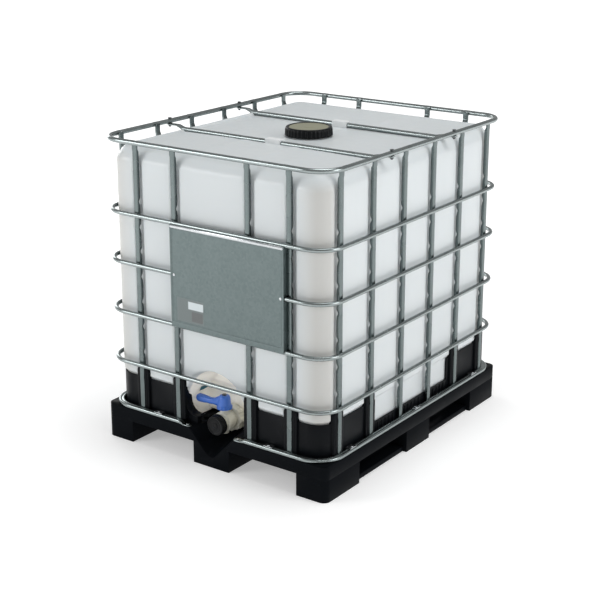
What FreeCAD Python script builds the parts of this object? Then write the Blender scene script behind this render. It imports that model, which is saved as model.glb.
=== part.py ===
"""Intermediate bulk container: a blow-moulded bottle in a welded tube cage on a plastic pallet.

Row frame in millimetres: the origin is at the middle of the footprint on the floor, +Z up. The outlet
valve faces -Y, and the long sides face +X and -X.
"""

import FreeCAD, Part
import math
import os
import Sketcher

from FreeCAD import Placement, Rotation, Vector

doc = FreeCAD.newDocument("bulk_container")

# --------------------------------------------------------------------------------------------------
# Driving dimensions, kept in the sheet "dims". Each name is its cell's alias.
# --------------------------------------------------------------------------------------------------
DIMENSIONS = {
    # pallet
    "pallet_half_x": 497,
    "pallet_half_y": 597,
    "pallet_corner": 28,
    "pallet_wall": 5,
    "deck_under": 82,
    "deck_top": 130,
    "deck_plate": 5,
    "foot_side_x": 374,
    "foot_centre_x": 80,
    "foot_end_y": 392,
    "foot_middle_y": 80,
    "bead_high": 6,
    "bead_wide": 18,
    "bead_pitch": 100,
    "bead_half": 500,
    "runner_high": 18,
    "runner_wall": 4,
    "runner_inset": 16,
    "runner_gap": 6,
    "pad_slot": 10,
    "chute_radius": 30,
    "chute_rise": 150,
    "chute_long": 280,
    "chute_back": 380,
    "chute_axis_front": 64,
    # bottle and guards
    "face_step": 100,
    "bottle_half": 465,
    "bottle_foot_half": 460,
    "bottle_corner": 70,
    "bottle_wall": 2.6,
    "bottle_step": 262,
    "bottle_top": 1114,
    "bottle_shoulder": 60,
    "bottle_heel": 42,
    "strip_top": 1104,
    "strip_half_y": 226,
    "niche_front_radius": 138,
    "niche_back_radius": 128,
    "niche_level": 225,
    "niche_front": 580,
    "niche_back": 450,
    "neck_radius": 78,
    "neck_wall": 4,
    "neck_top": 1134,
    "guard_outer": 466,
    "guard_thick": 5,
    "guard_top": 257,
    "guard_tab_top": 288,
    "guard_tab_half": 19,
    "guard_tab_out": 478,
    "guard_end_front": 140,
    "guard_end_side": 250,
    "sill_top": 172,
    "sill_rib": 3,
    # fill cap
    "cap_radius": 89,
    "cap_wall": 4,
    "cap_low": 1108,
    "cap_top": 1140,
    "seal_thick": 2,
    # cage
    "hoop_half": 490,
    "hoop_corner": 90,
    "hoop_radius": 8,
    "tube_wall": 1,
    "rim_radius": 9,
    "rim_level": 1137,
    "hoop_level_a": 876,
    "hoop_level_b": 693,
    "hoop_level_c": 505,
    "hoop_level_d": 313,
    "seam_gap": 1,
    "post_wide": 20,
    "post_deep": 15,
    "post_top": 1140,
    "crimp_low": 1104,
    "crimp_deep": 8,
    "post_inner_x": 161,
    "post_outer_x": 333,
    "post_side_y": 196,
    "rail_half": 485,
    "rail_wide": 24,
    "rail_high": 14,
    "rail_open": 130,
    "rail_tab_end": 99,
    "rail_tab_thick": 3,
    "bracket_wide": 36,
    "bracket_thick": 2.5,
    "bracket_y": 425,
    "bracket_x": 250,
    "screw_radius": 3,
    "screw_head_radius": 6,
    "screw_head_high": 3.5,
    "screw_long": 30,
    "bar_y": 210,
    "bar_level": 1113.5,
    "bar_radius": 9,
    "bar_tube_half": 425,
    "bar_tab_start": 457,
    "bar_tab_end": 499,
    "bar_tab_half": 14,
    "bar_tab_thick": 5,
    "bolt_radius": 4,
    "bolt_head_radius": 7,
    "bolt_head_high": 4,
    "clip_half_x": 32,
    "clip_half_y": 15,
    "clip_top": 1128,
    # label plate
    "plate_left": 163,
    "plate_right": 327,
    "plate_low": 503,
    "plate_high": 874,
    "plate_sheet": 1.2,
    "plate_flange": 15,
    "plate_lip": 15,
    "plate_notch": 10,
    "label_thick": 0.2,
    "rivet_radius": 5,
    "rivet_proud": 0.8,
    "rivet_long": 6,
    "plate_rivet_in": 14,
    "label_in": 26,
    "label_wide": 120,
    "label_high": 86,
    # valve
    "valve_level": 150,
    "stem_y": 515,
    "valve_bore": 25,
    "valve_tube": 32,
    "valve_end": 566,
    "barrel_radius": 38,
    "barrel_half": 30,
    "spout_radius": 38,
    "spout_end": 468,
    "sump_end": 388,
    "valve_flange": 43,
    "valve_flange_thick": 8,
    "nut_radius": 50,
    "nut_lip": 6,
    "disc_thick": 6,
    "disc_hub_radius": 10,
    "stem_radius": 6,
    "stem_boss_radius": 15,
    "stem_seal_radius": 10,
    "stem_boss_top": 198,
    "stem_foot": 116,
    "hub_radius": 25,
    "hub_low": 200,
    "hub_top": 250,
    "lever_long": 128,
    "lever_half": 14,
    "lever_tip_half": 12,
    "lever_low": 200,
    "lever_high": 223,
    "outlet_cap_radius": 38,
    "outlet_cap_wall": 4,
    "outlet_cap_deep": 24,
    # fits
    "running_gap": 0.05,
    "free_gap": 0.4,
}

dims = doc.addObject("Spreadsheet::Sheet", "dims")


class Size:
    """A length from the sheet: its number, and the expression that binds a property to it."""

    def __init__(self, number, text):
        self.number = float(number)
        self.text = text

    def _with(self, other, sign, result):
        return Size(result, f"({self.text} {sign} {size(other).text})")

    def __add__(self, other):
        return self._with(other, "+", self.number + size(other).number)

    def __sub__(self, other):
        return self._with(other, "-", self.number - size(other).number)

    def __mul__(self, factor):
        return self._with(factor, "*", self.number * size(factor).number)

    def __neg__(self):
        return self * -1


def size(value):
    return value if isinstance(value, Size) else Size(value, repr(float(value)))


def fill_sheet():
    sizes = {}
    for row, (alias, value) in enumerate(DIMENSIONS.items(), start=1):
        dims.set(f"A{row}", alias)
        dims.set(f"B{row}", str(value))
        dims.setAlias(f"B{row}", alias)
        sizes[alias] = Size(value, f"dims.{alias}")
    doc.recompute()
    return sizes


D = fill_sheet()
FINISHED = []  # the sub-parts, in the order in which they are written


def finish(piece, label):
    """Gives a finished sub-part the label that names its file."""
    piece.Label = label
    FINISHED.append(piece)
    return piece


def bind(item, prop, value):
    item.setExpression(prop, size(value).text)


def place(item, position, axis=(0, 0, 1), angle=0):
    item.Placement = Placement(Vector(), Rotation(Vector(*axis), angle))
    for letter, value in zip("xyz", position):
        bind(item, f"Placement.Base.{letter}", value)
    return item


# --------------------------------------------------------------------------------------------------
# Primitives and booleans
# --------------------------------------------------------------------------------------------------
def box(low, high, name="block"):
    """A box from its low corner to its high corner."""
    item = doc.addObject("Part::Box", name)
    for prop, a, b in zip(("Length", "Width", "Height"), low, high):
        bind(item, prop, size(b) - a)
    return place(item, low)


def box_facing(side, low, high, name="block"):
    """A box given as (outwards, along, up) distances on the face named by side: +-x or +-y."""
    sign = -1 if side[0] == "-" else 1
    out = sorted((size(low[0]) * sign, size(high[0]) * sign), key=lambda s: s.number)
    if side[-1] == "x":
        return box((out[0], low[1], low[2]), (out[1], high[1], high[2]), name)
    return box((low[1], out[0], low[2]), (high[1], out[1], high[2]), name)


TURNS = {"x": ((0, 1, 0), 90), "y": ((1, 0, 0), -90), "z": ((0, 0, 1), 0)}


def cylinder(radius, start, length, along="z", name="round"):
    """A cylinder of that length from its start point, along +X, +Y or +Z."""
    item = doc.addObject("Part::Cylinder", name)
    bind(item, "Radius", radius)
    bind(item, "Height", length)
    return place(item, start, *TURNS[along])


def cone(start_radius, end_radius, start, length, along="z", name="cone"):
    item = doc.addObject("Part::Cone", name)
    bind(item, "Radius1", start_radius)
    bind(item, "Radius2", end_radius)
    bind(item, "Height", length)
    return place(item, start, *TURNS[along])


def join(pieces, name="joined"):
    item = doc.addObject("Part::MultiFuse", name)
    item.Shapes = pieces
    return item


def cut(base, tools, name="cut"):
    item = doc.addObject("Part::Cut", name)
    item.Base = base
    item.Tool = join(tools) if len(tools) > 1 else tools[0]
    return item


def common(pieces, name="shared"):
    item = doc.addObject("Part::MultiCommon", name)
    item.Shapes = pieces
    return item


def separate(pieces, name="pieces"):
    """Separate solids of one kind, kept as one sub-part."""
    item = doc.addObject("Part::Compound", name)
    item.Links = pieces
    return item


def pipe(outer, inner, start, length, along="z", name="pipe"):
    return cut(
        cylinder(outer, start, length, along),
        [cylinder(inner, start, length, along)],
        name,
    )


# --------------------------------------------------------------------------------------------------
# Rounded blocks, padded from sketches
# --------------------------------------------------------------------------------------------------
def sketch_on(body, level):
    """A sketch on the body's own horizontal plane, lifted to the level."""
    plane = next(f for f in body.Origin.OriginFeatures if f.Role == "XY_Plane")
    item = body.newObject("Sketcher::SketchObject", "outline")
    item.AttachmentSupport = [(plane, "")]
    item.MapMode = "FlatFace"
    bind(item, "AttachmentOffset.Base.z", level)
    return item


def dimension(sketch, kind, where, value, name):
    """Adds a named dimension to a sketch, bound to the sheet."""
    value = size(value)
    sketch.addConstraint(Sketcher.Constraint(kind, *where, value.number))
    sketch.renameConstraint(sketch.ConstraintCount - 1, name)
    sketch.setExpression(f"Constraints.{name}", value.text)


def draw_rounded_rectangle(sketch, half_x, half_y, radius, seam=None):
    """A centred rectangle with four equal tangent corners, open at the middle of the rear by a seam."""
    x, y, r = size(half_x).number, size(half_y).number, size(radius).number
    rear = [((x - r, y), (r - x, y))]
    if seam:
        half_seam = seam.number / 2
        rear = [((x - r, y), (half_seam, y)), ((-half_seam, y), (r - x, y))]
    sides = [((r - x, -y), (x - r, -y)), ((x, r - y), (x, y - r)), *rear, ((-x, y - r), (-x, r - y))]
    lines = [sketch.addGeometry(Part.LineSegment(Vector(*a), Vector(*b)), False) for a, b in sides]
    front_line, right_line, *rear_lines, left_line = lines
    for line in (front_line, *rear_lines):
        sketch.addConstraint(Sketcher.Constraint("Horizontal", line))
    for line in (right_line, left_line):
        sketch.addConstraint(Sketcher.Constraint("Vertical", line))
    corners = (
        ((x - r, r - y), front_line, right_line),
        ((x - r, y - r), right_line, rear_lines[0]),
        ((r - x, y - r), rear_lines[-1], left_line),
        ((r - x, r - y), left_line, front_line),
    )
    arcs = []
    for i, (centre, before, after) in enumerate(corners):
        circle = Part.Circle(Vector(*centre), Vector(0, 0, 1), r)
        start = (i - 1) * math.pi / 2
        arc = sketch.addGeometry(Part.ArcOfCircle(circle, start, start + math.pi / 2), False)
        sketch.addConstraint(Sketcher.Constraint("Tangent", before, 2, arc, 1))
        sketch.addConstraint(Sketcher.Constraint("Tangent", after, 1, arc, 2))
        arcs.append(arc)
    for arc in arcs[1:]:
        sketch.addConstraint(Sketcher.Constraint("Equal", arcs[0], arc))
    dimension(sketch, "Radius", (arcs[0],), radius, "corner")
    dimension(sketch, "DistanceY", (-1, 1, front_line, 1), -size(half_y), "front")
    dimension(sketch, "DistanceX", (-1, 1, right_line, 1), half_x, "right")
    dimension(sketch, "DistanceX", (-1, 1, left_line, 1), -size(half_x), "left")
    for number, line in enumerate(rear_lines, start=1):
        dimension(sketch, "DistanceY", (-1, 1, line, 1), half_y, f"rear_{number}")
    if seam:
        dimension(sketch, "DistanceX", (-1, 1, rear_lines[0], 2), seam * 0.5, "seam_right")
        dimension(sketch, "DistanceX", (-1, 1, rear_lines[1], 1), seam * -0.5, "seam_left")


def rod_loop(half_x, half_y, corner, level, radius, name="rod_loop"):
    """A round rod bent to a level rounded rectangle, open by the seam at the middle of the rear."""
    path = doc.addObject("Sketcher::SketchObject", "path")
    bind(path, "Placement.Base.z", level)
    draw_rounded_rectangle(path, half_x, half_y, corner, D["seam_gap"])
    section = doc.addObject("Part::Circle", "section")
    bind(section, "Radius", radius)
    place(section, (D["seam_gap"] * 0.5, half_y, level), (0, 1, 0), 90)
    rod = doc.addObject("Part::Sweep", name)
    rod.Sections = [section]
    rod.Spine = (path, [f"Edge{i + 1}" for i in range(path.GeometryCount)])
    rod.Solid = True
    rod.Frenet = False
    return rod


def rounded_block(half_x, half_y, radius, low, high, name="rounded_block"):
    body = doc.addObject("PartDesign::Body", name)
    outline = sketch_on(body, low)
    draw_rounded_rectangle(outline, half_x, half_y, radius)
    pad = body.newObject("PartDesign::Pad", "pad")
    pad.Profile = outline
    bind(pad, "Length", size(high) - low)
    return body


def round_edges(body, level, radius):
    """Fillets the edges of the body's last feature that lie at the level."""
    doc.recompute()
    tip = body.Tip
    names = []
    for i, edge in enumerate(tip.Shape.Edges, start=1):
        if all(abs(vertex.Z - size(level).number) < 1e-6 for vertex in edge.Vertexes):
            names.append(f"Edge{i}")
    fillet = body.newObject("PartDesign::Fillet", "fillet")
    fillet.Base = (tip, names)
    bind(fillet, "Radius", radius)
    return body


CHUTE_TILT = 16  # degrees below level


def half_along(side, half):
    """The half length of a face pair: the Y pair stands face_step further out than the X pair."""
    return size(half) + D["face_step"] if side[-1] == "y" else size(half)


# --------------------------------------------------------------------------------------------------
# Places shared by several sub-parts
# --------------------------------------------------------------------------------------------------
POSTS = []  # (label, side, distance along the face)
for word, side in (("front", "-y"), ("rear", "y")):
    for place_word, sign, reach in (
        ("outer_left", -1, D["post_outer_x"]),
        ("inner_left", -1, D["post_inner_x"]),
        ("inner_right", 1, D["post_inner_x"]),
        ("outer_right", 1, D["post_outer_x"]),
    ):
        POSTS.append((f"upright_{word}_{place_word}", side, reach * sign))
for word, side in (("left", "-x"), ("right", "x")):
    for index in range(6):
        POSTS.append((f"upright_{word}_{index + 1}", side, D["post_side_y"] * (index - 2.5)))

RAIL_TOP = D["deck_top"] + D["rail_high"]
POST_FACE = D["hoop_half"] - D["hoop_radius"]  # the plane where posts and hoops touch
BRACKETS = []  # (side, distance along the face)
for side in ("-x", "x"):
    for sign in (-1, 0, 1):
        BRACKETS.append((side, D["bracket_y"] * sign))
for side in ("-y", "y"):
    for sign in (-1, 1):
        BRACKETS.append((side, D["bracket_x"] * sign))


def span(middle, half):
    return size(middle) - half, size(middle) + half


# --------------------------------------------------------------------------------------------------
# Screws that hold the rail, and their holes
# --------------------------------------------------------------------------------------------------
def screw_points():
    """(position of the underside of the head) for every rail screw."""
    points = []
    bracket_top = RAIL_TOP + D["bracket_thick"]
    for side, along in BRACKETS:
        out = half_along(side, D["rail_half"])
        sign = -1 if side[0] == "-" else 1
        here = (out * sign, along) if side[-1] == "x" else (along, out * sign)
        points.append((*here, bracket_top))
    tab_middle = (D["rail_tab_end"] + D["rail_open"]) * 0.5
    for sign in (-1, 1):
        front = -half_along("-y", D["rail_half"])
        points.append((tab_middle * sign, front, D["deck_top"] + D["rail_tab_thick"]))
    return points


def rail_screw(x, y, seat, name="rail_screw"):
    head = cylinder(D["screw_head_radius"], (x, y, seat), D["screw_head_high"])
    tip = D["deck_top"] - D["screw_long"]
    shank = cylinder(D["screw_radius"], (x, y, tip), size(seat) - tip)
    return join([head, shank], name)


RAIL_SCREWS = separate([rail_screw(*point) for point in screw_points()], "rail_screw_set")

# --------------------------------------------------------------------------------------------------
# Pallet
# --------------------------------------------------------------------------------------------------
FOOT_RANGES_X = (
    (-D["pallet_half_x"], -D["foot_side_x"]),
    (-D["foot_centre_x"], D["foot_centre_x"]),
    (D["foot_side_x"], D["pallet_half_x"]),
)
FOOT_RANGES_Y = (
    (-D["pallet_half_y"], -D["foot_end_y"]),
    (-D["foot_middle_y"], D["foot_middle_y"]),
    (D["foot_end_y"], D["pallet_half_y"]),
)


def cell_ranges(foot_ranges, cells_between):
    """(low, high) for each row of hollows, with a wall left between neighbours."""
    wall = D["pallet_wall"]
    ranges = []
    for i, (low, high) in enumerate(foot_ranges):
        ranges.append((low + wall, high - wall))
        if i + 1 < len(foot_ranges):
            start, end = high, foot_ranges[i + 1][0]
            pitch = (end - start + wall) * (1 / cells_between)
            for j in range(cells_between):
                cell = start + pitch * j
                ranges.append((cell, cell + pitch - wall))
    return ranges


def chute(radius):
    """A trough below the valve with two sides at a right angle and a round keel. It falls to the front."""
    start = (0, -D["pallet_half_y"] - 20, D["chute_axis_front"])
    keel = cylinder(radius, start, D["chute_long"], "y", "keel")
    foot_half = size(radius) * math.sqrt(0.5)
    rise = D["chute_rise"]
    top_half = foot_half * 2 + rise
    sides = doc.addObject("Part::Wedge", "chute_sides")
    for prop, value in (
        ("Xmin", -top_half),
        ("Xmax", top_half),
        ("X2min", -foot_half),
        ("X2max", foot_half),
        ("Ymin", -rise),
        ("Ymax", foot_half),
        ("Zmin", 0),
        ("Zmax", D["chute_long"]),
        ("Z2min", 0),
        ("Z2max", D["chute_long"]),
    ):
        bind(sides, prop, value)
    place(sides, start)
    for piece in (keel, sides):
        piece.Placement.Rotation = Rotation(Vector(1, 0, 0), CHUTE_TILT - 90)
    return join([keel, sides], "chute")


RUNNERS = {
    "runner_left": (D["runner_inset"] - D["pallet_half_x"], -D["foot_side_x"] - D["runner_gap"]),
    "runner_centre": (D["runner_inset"] - D["foot_centre_x"], D["foot_centre_x"] - D["runner_inset"]),
    "runner_right": (D["foot_side_x"] + D["runner_gap"], D["pallet_half_x"] - D["runner_inset"]),
}
RUNNER_END = D["pallet_half_y"] - D["runner_inset"]


def runner_screw(x, y):
    """A countersunk screw driven up through a runner into the foot above it."""
    seat = D["runner_high"] - D["runner_wall"]
    head = cone(D["screw_head_radius"], D["screw_radius"], (x, y, seat - 1), D["screw_head_high"])
    shank = cylinder(D["screw_radius"], (x, y, seat), D["screw_long"])
    return join([head, shank], "runner_screw")


def runner_screws():
    screws = []
    for low_x, high_x in RUNNERS.values():
        for low_y, high_y in FOOT_RANGES_Y:
            screws.append(runner_screw((low_x + high_x) * 0.5, (low_y + high_y) * 0.5))
    return separate(screws, "runner_screw_set")


RUNNER_SCREWS = runner_screws()


def runner(low_x, high_x):
    """A skid with its channel open below, closed at both ends."""
    wall = D["runner_wall"]
    solid = box((low_x, -RUNNER_END, 0), (high_x, RUNNER_END, D["runner_high"]))
    channels = []
    for low_y, high_y in zip((-RUNNER_END, size(0)), (size(0), RUNNER_END)):
        low = (low_x + wall, low_y + wall, -1)
        channels.append(box(low, (high_x - wall, high_y - wall, D["runner_high"] - wall)))
    return cut(solid, [*channels, RUNNER_SCREWS])


def trench():
    """The room that the chute takes out of the pallet."""
    half_x, half_y = D["pallet_half_x"], D["pallet_half_y"]
    high = D["deck_top"] + D["bead_high"] + 5
    front_part = box((-half_x, -half_y - 20, 0), (half_x, -D["chute_back"], high))
    return common([chute(D["chute_radius"]), front_part])


def chute_wall(low, high):
    """The chute's own wall between two levels."""
    wall = D["pallet_wall"]
    front = (-D["foot_centre_x"] * 2, -D["pallet_half_y"], low)
    room = box(front, (D["foot_centre_x"] * 2, wall - D["chute_back"], high))
    return common([chute(D["chute_radius"] + wall), room])


def foot(low_x, high_x, low_y, high_y):
    """A hollow foot, open below, with a strip across it that rests on the runner and takes its screw."""
    wall = D["pallet_wall"]
    inset = wall + D["pad_slot"]
    under = D["deck_under"]
    block = box((low_x, low_y, 0), (high_x, high_y, under))
    room = box((low_x + wall, low_y + wall, -1), (high_x - wall, high_y - wall, under + 1))
    cavity = common([room, pallet_outline(wall, -2)])
    low = (low_x + inset, low_y + 1, D["runner_high"])
    pad = box(low, (high_x - inset, high_y - 1, D["runner_high"] + wall))
    return [cut(block, [cavity]), pad]


def pallet_outline(inset, low):
    half_x, half_y = D["pallet_half_x"] - inset, D["pallet_half_y"] - inset
    return rounded_block(half_x, half_y, D["pallet_corner"] - inset, low, D["deck_top"])


def pallet_feet():
    tools = [trench(), RUNNER_SCREWS]
    for low_x, high_x in RUNNERS.values():
        tools.append(box((low_x, -RUNNER_END, -1), (high_x, RUNNER_END, D["runner_high"])))
    feet = []
    for low_x, high_x in FOOT_RANGES_X:
        for low_y, high_y in FOOT_RANGES_Y:
            pieces = foot(low_x, high_x, low_y, high_y)
            if low_x.number < 0 < high_x.number and high_y.number < 0:
                pieces.append(chute_wall(size(0), D["deck_under"]))
            feet.append(cut(common([join(pieces), pallet_outline(size(0), 0)]), tools, "foot"))
    return separate(feet, "foot_set")


def pallet_deck():
    wall = D["pallet_wall"]
    half_x, half_y = D["pallet_half_x"], D["pallet_half_y"]
    slab = box((-half_x, -half_y, D["deck_under"]), (half_x, half_y, D["deck_top"]))
    ceiling = D["deck_top"] - D["deck_plate"]
    cells = []
    for low_x, high_x in cell_ranges(FOOT_RANGES_X, 2):
        for low_y, high_y in cell_ranges(FOOT_RANGES_Y, 3):
            cells.append(box((low_x, low_y, D["deck_under"] - 1), (high_x, high_y, ceiling)))
    hollow = common([join(cells), pallet_outline(wall, -1)])
    frame = cut(common([slab, pallet_outline(size(0), 0)]), [hollow])
    pieces = [frame, chute_wall(D["deck_under"], D["deck_top"])]
    for index in range(-4, 5):
        low, high = span(D["bead_pitch"] * index, D["bead_wide"] * 0.5)
        front = wall - D["chute_back"] if index == 0 else -D["bead_half"]
        pieces.append(box((low, front, ceiling), (high, D["bead_half"], D["deck_top"] + D["bead_high"])))
    return cut(join(pieces), [trench(), RAIL_SCREWS], "pallet_moulding")


finish(pallet_deck(), "pallet_deck")
finish(pallet_feet(), "pallet_feet")
for label, ends in RUNNERS.items():
    finish(runner(*ends), label)
finish(RUNNER_SCREWS, "runner_screws")

# --------------------------------------------------------------------------------------------------
# Cage: base rail, its brackets and screws
# --------------------------------------------------------------------------------------------------
def rail_block(inset, low, high):
    half = D["rail_half"] + D["rail_wide"] * 0.5 - inset
    corner = D["hoop_corner"] + D["rail_wide"] * 0.5 - inset
    return rounded_block(half, half + D["face_step"], corner, low, high)


def base_rail():
    wall = D["tube_wall"]
    outer = rail_block(0, D["deck_top"], RAIL_TOP)
    inner = rail_block(D["rail_wide"], D["deck_top"] - 1, RAIL_TOP + 1)
    bore_outer = rail_block(wall, D["deck_top"] + wall, RAIL_TOP - wall)
    bore_inner = rail_block(D["rail_wide"] - wall, D["deck_top"], RAIL_TOP)
    reach = half_along("-y", D["rail_half"]) + D["rail_wide"]
    opening = box((-D["rail_open"], -reach, D["deck_top"] - 1), (D["rail_open"], 0, RAIL_TOP + 1))
    tube = cut(cut(outer, [inner]), [cut(bore_outer, [bore_inner]), opening])
    pieces = [tube]
    front = -half_along("-y", D["rail_half"])
    low_y, high_y = span(front, D["rail_wide"] * 0.5)
    tab_top = D["deck_top"] + D["rail_tab_thick"]
    for low, high in ((D["rail_tab_end"], D["rail_open"] + 5), (-D["rail_open"] - 5, -D["rail_tab_end"])):
        pieces.append(box((low, low_y, D["deck_top"]), (high, high_y, tab_top)))
    return cut(join(pieces), [RAIL_SCREWS])


def rail_bracket(side, along):
    """An angle that stands inside the rail and laps over its top."""
    inner = half_along(side, D["rail_half"]) - D["rail_wide"] * 0.5
    low, high = span(along, D["bracket_wide"] * 0.5)
    thick = D["bracket_thick"]
    top = RAIL_TOP + thick
    leg = box_facing(side, (inner - thick, low, D["deck_top"]), (inner, high, top))
    lap = box_facing(side, (inner - thick, low, RAIL_TOP), (inner + 20, high, top))
    return join([leg, lap], "bracket")


finish(base_rail(), "base_rail")
brackets = separate([rail_bracket(*where) for where in BRACKETS], "bracket_blanks")
finish(cut(brackets, [RAIL_SCREWS]), "rail_brackets")
finish(RAIL_SCREWS, "rail_screws")

# --------------------------------------------------------------------------------------------------
# Cage: uprights, hoops and rim
# --------------------------------------------------------------------------------------------------
def upright(side, along):
    """A rectangular tube with its top end pressed flat against the rim."""
    face = half_along(side, POST_FACE)
    back = face - D["post_deep"]
    wall = D["tube_wall"]
    low, high = span(along, D["post_wide"] * 0.5)
    tube = box_facing(side, (back, low, RAIL_TOP), (face, high, D["crimp_low"]))
    bore = box_facing(
        side,
        (back + wall, low + wall, RAIL_TOP - 1),
        (face - wall, high - wall, D["crimp_low"] - wall),
    )
    crimp_back = face - D["crimp_deep"]
    crimp = box_facing(side, (crimp_back, low, D["crimp_low"]), (face, high, D["post_top"]))
    return cut(join([tube, crimp]), [bore])


def plate_rivets():
    """Flat-headed rivets that hold the label plate to the hoop behind its middle."""
    back = -half_along("-y", D["hoop_half"]) - D["hoop_radius"]
    level = D["hoop_level_b"]
    head_start = back - D["plate_sheet"] - D["rivet_proud"]
    rivets = []
    for x in (D["plate_rivet_in"] - D["plate_left"], D["plate_right"] - D["plate_rivet_in"]):
        head = cylinder(D["rivet_radius"], (x, head_start, level), D["rivet_proud"], "y")
        shank = cylinder(D["screw_radius"], (x, head_start, level), D["rivet_long"], "y")
        rivets.append(join([head, shank], "rivet"))
    return separate(rivets, "rivet_set")


PLATE_RIVETS = plate_rivets()


def hoop(level, radius):
    """A tube round all the uprights, closed but for a narrow seam at the middle of the rear."""
    half = POST_FACE + radius
    outer = rod_loop(half, half_along("y", half), D["hoop_corner"], level, radius)
    bore_radius = size(radius) - D["tube_wall"]
    bore = rod_loop(half, half_along("y", half), D["hoop_corner"], level, bore_radius)
    return cut(outer, [bore, PLATE_RIVETS])


for label, side, along in POSTS:
    finish(upright(side, along), label)
for number, letter in enumerate("dcba", start=1):
    finish(hoop(D[f"hoop_level_{letter}"], D["hoop_radius"]), f"hoop_{number}")

# --------------------------------------------------------------------------------------------------
# Cage: rim, top bars and their bolts
# --------------------------------------------------------------------------------------------------
RIM_HALF = POST_FACE + D["rim_radius"]


def bar_bolt(x, y):
    """A bolt down through the rim and the flat end of a bar, with its nut."""
    seat = D["rim_level"] + D["rim_radius"] - 0.5
    head = cylinder(D["bolt_head_radius"], (x, y, seat), D["bolt_head_high"] + 0.5)
    under = D["rim_level"] - D["rim_radius"] - D["bar_tab_thick"]
    nut = cylinder(D["bolt_head_radius"], (x, y, under - D["bolt_head_high"]), D["bolt_head_high"])
    tip = under - D["bolt_head_high"] - 4
    shank = cylinder(D["bolt_radius"], (x, y, tip), seat - tip)
    return join([head, nut, shank], "bar_bolt")


BAR_BOLTS = separate(
    [bar_bolt(RIM_HALF * sign_x, D["bar_y"] * sign_y) for sign_x in (-1, 1) for sign_y in (-1, 1)],
    "bar_bolt_set",
)


def bar_end(sign, y):
    """The flattened end of a bar: a tapered run that rises to a tab below the rim."""
    tab_top = D["rim_level"] - D["rim_radius"]
    tab_low = tab_top - D["bar_tab_thick"]
    radius = D["bar_radius"]
    taper = doc.addObject("Part::Wedge", "taper")
    low, high = D["bar_level"] - radius, D["bar_level"] + radius
    for prop, value in (
        ("Xmin", -radius),
        ("Xmax", radius),
        ("X2min", -D["bar_tab_half"]),
        ("X2max", D["bar_tab_half"]),
        ("Ymin", D["bar_tube_half"]),
        ("Ymax", D["bar_tab_start"]),
        ("Zmin", low),
        ("Zmax", high),
        ("Z2min", tab_low),
        ("Z2max", tab_top),
    ):
        bind(taper, prop, value)
    place(taper, (0, y, 0), (0, 0, 1), -90 * sign)
    start, end = D["bar_tab_start"] * sign, D["bar_tab_end"] * sign
    low_x, high_x = (start, end) if sign > 0 else (end, start)
    low_y, high_y = span(y, D["bar_tab_half"])
    return [taper, box((low_x, low_y, tab_low), (high_x, high_y, tab_top))]


def top_bar(y):
    half = D["bar_tube_half"]
    start = (-half, y, D["bar_level"])
    tube = pipe(D["bar_radius"], D["bar_radius"] - D["tube_wall"], start, half * 2, "x")
    drains = []
    for sign in (-1, 1):
        drain = (half * sign * 0.9, y, D["bar_level"] - D["bar_radius"] - 1)
        drains.append(cylinder(D["screw_radius"], drain, D["bar_radius"]))
    ends = bar_end(-1, y) + bar_end(1, y)
    return cut(join([cut(tube, drains), *ends]), [BAR_BOLTS])


def bar_clip(y):
    """A moulded saddle that holds a bar down on the bottle beside the fill cap."""
    low, high = span(y, D["clip_half_y"])
    block = box((-D["clip_half_x"], low, D["strip_top"]), (D["clip_half_x"], high, D["clip_top"]))
    start = (-D["clip_half_x"] - 1, y, D["bar_level"])
    return cut(block, [cylinder(D["bar_radius"], start, D["clip_half_x"] * 2 + 2, "x")])


finish(cut(hoop(D["rim_level"], D["rim_radius"]), [BAR_BOLTS]), "top_rim")
finish(top_bar(-D["bar_y"]), "top_bar_front")
finish(top_bar(D["bar_y"]), "top_bar_rear")
finish(BAR_BOLTS, "bar_bolts")
finish(separate([bar_clip(D["bar_y"] * sign) for sign in (-1, 1)]), "bar_clips")

# --------------------------------------------------------------------------------------------------
# Bottle, corner guards and sills
# --------------------------------------------------------------------------------------------------
BOTTLE_LOW = D["deck_top"] + D["bead_high"]


def bottle_block(inset):
    """The bottle's bulk, drawn in by inset on every side."""
    half, corner = D["bottle_half"] - inset, D["bottle_corner"] - inset
    step, top = D["bottle_step"] + inset, D["bottle_top"] - inset
    upper = rounded_block(half, half + D["face_step"], corner, step, top)
    round_edges(upper, top, D["bottle_shoulder"] - inset)
    half, corner = D["bottle_foot_half"] - inset, corner - (D["bottle_half"] - D["bottle_foot_half"])
    low = BOTTLE_LOW + inset
    lower = rounded_block(half, half + D["face_step"], corner, low, step + 1)
    round_edges(lower, low, D["bottle_heel"] - inset)
    strip_half = D["strip_half_y"] + inset
    strip = box(
        (-D["bottle_half"], -strip_half, D["strip_top"] - inset),
        (D["bottle_half"], strip_half, D["bottle_top"] + 1),
    )
    return cut(join([upper, lower]), [strip, *niche(inset)])


def niche(inset):
    """The arched room round the valve: a cone above and straight leaning sides below."""
    front, back = D["niche_front_radius"] + inset, D["niche_back_radius"] + inset
    long = D["niche_front"] - D["niche_back"] + inset
    level = D["niche_level"]
    arch = cone(front, back, (0, -D["niche_front"], level), long, "y", "niche_arch")
    sides = doc.addObject("Part::Wedge", "niche_sides")
    low = BOTTLE_LOW - 1
    for prop, value in (
        ("Xmin", -front),
        ("Xmax", front),
        ("X2min", -back),
        ("X2max", back),
        ("Ymin", 0),
        ("Ymax", long),
        ("Zmin", 0),
        ("Zmax", level - low),
        ("Z2min", 0),
        ("Z2max", level - low),
    ):
        bind(sides, prop, value)
    place(sides, (0, -D["niche_front"], low))
    return [arch, sides]


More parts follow.
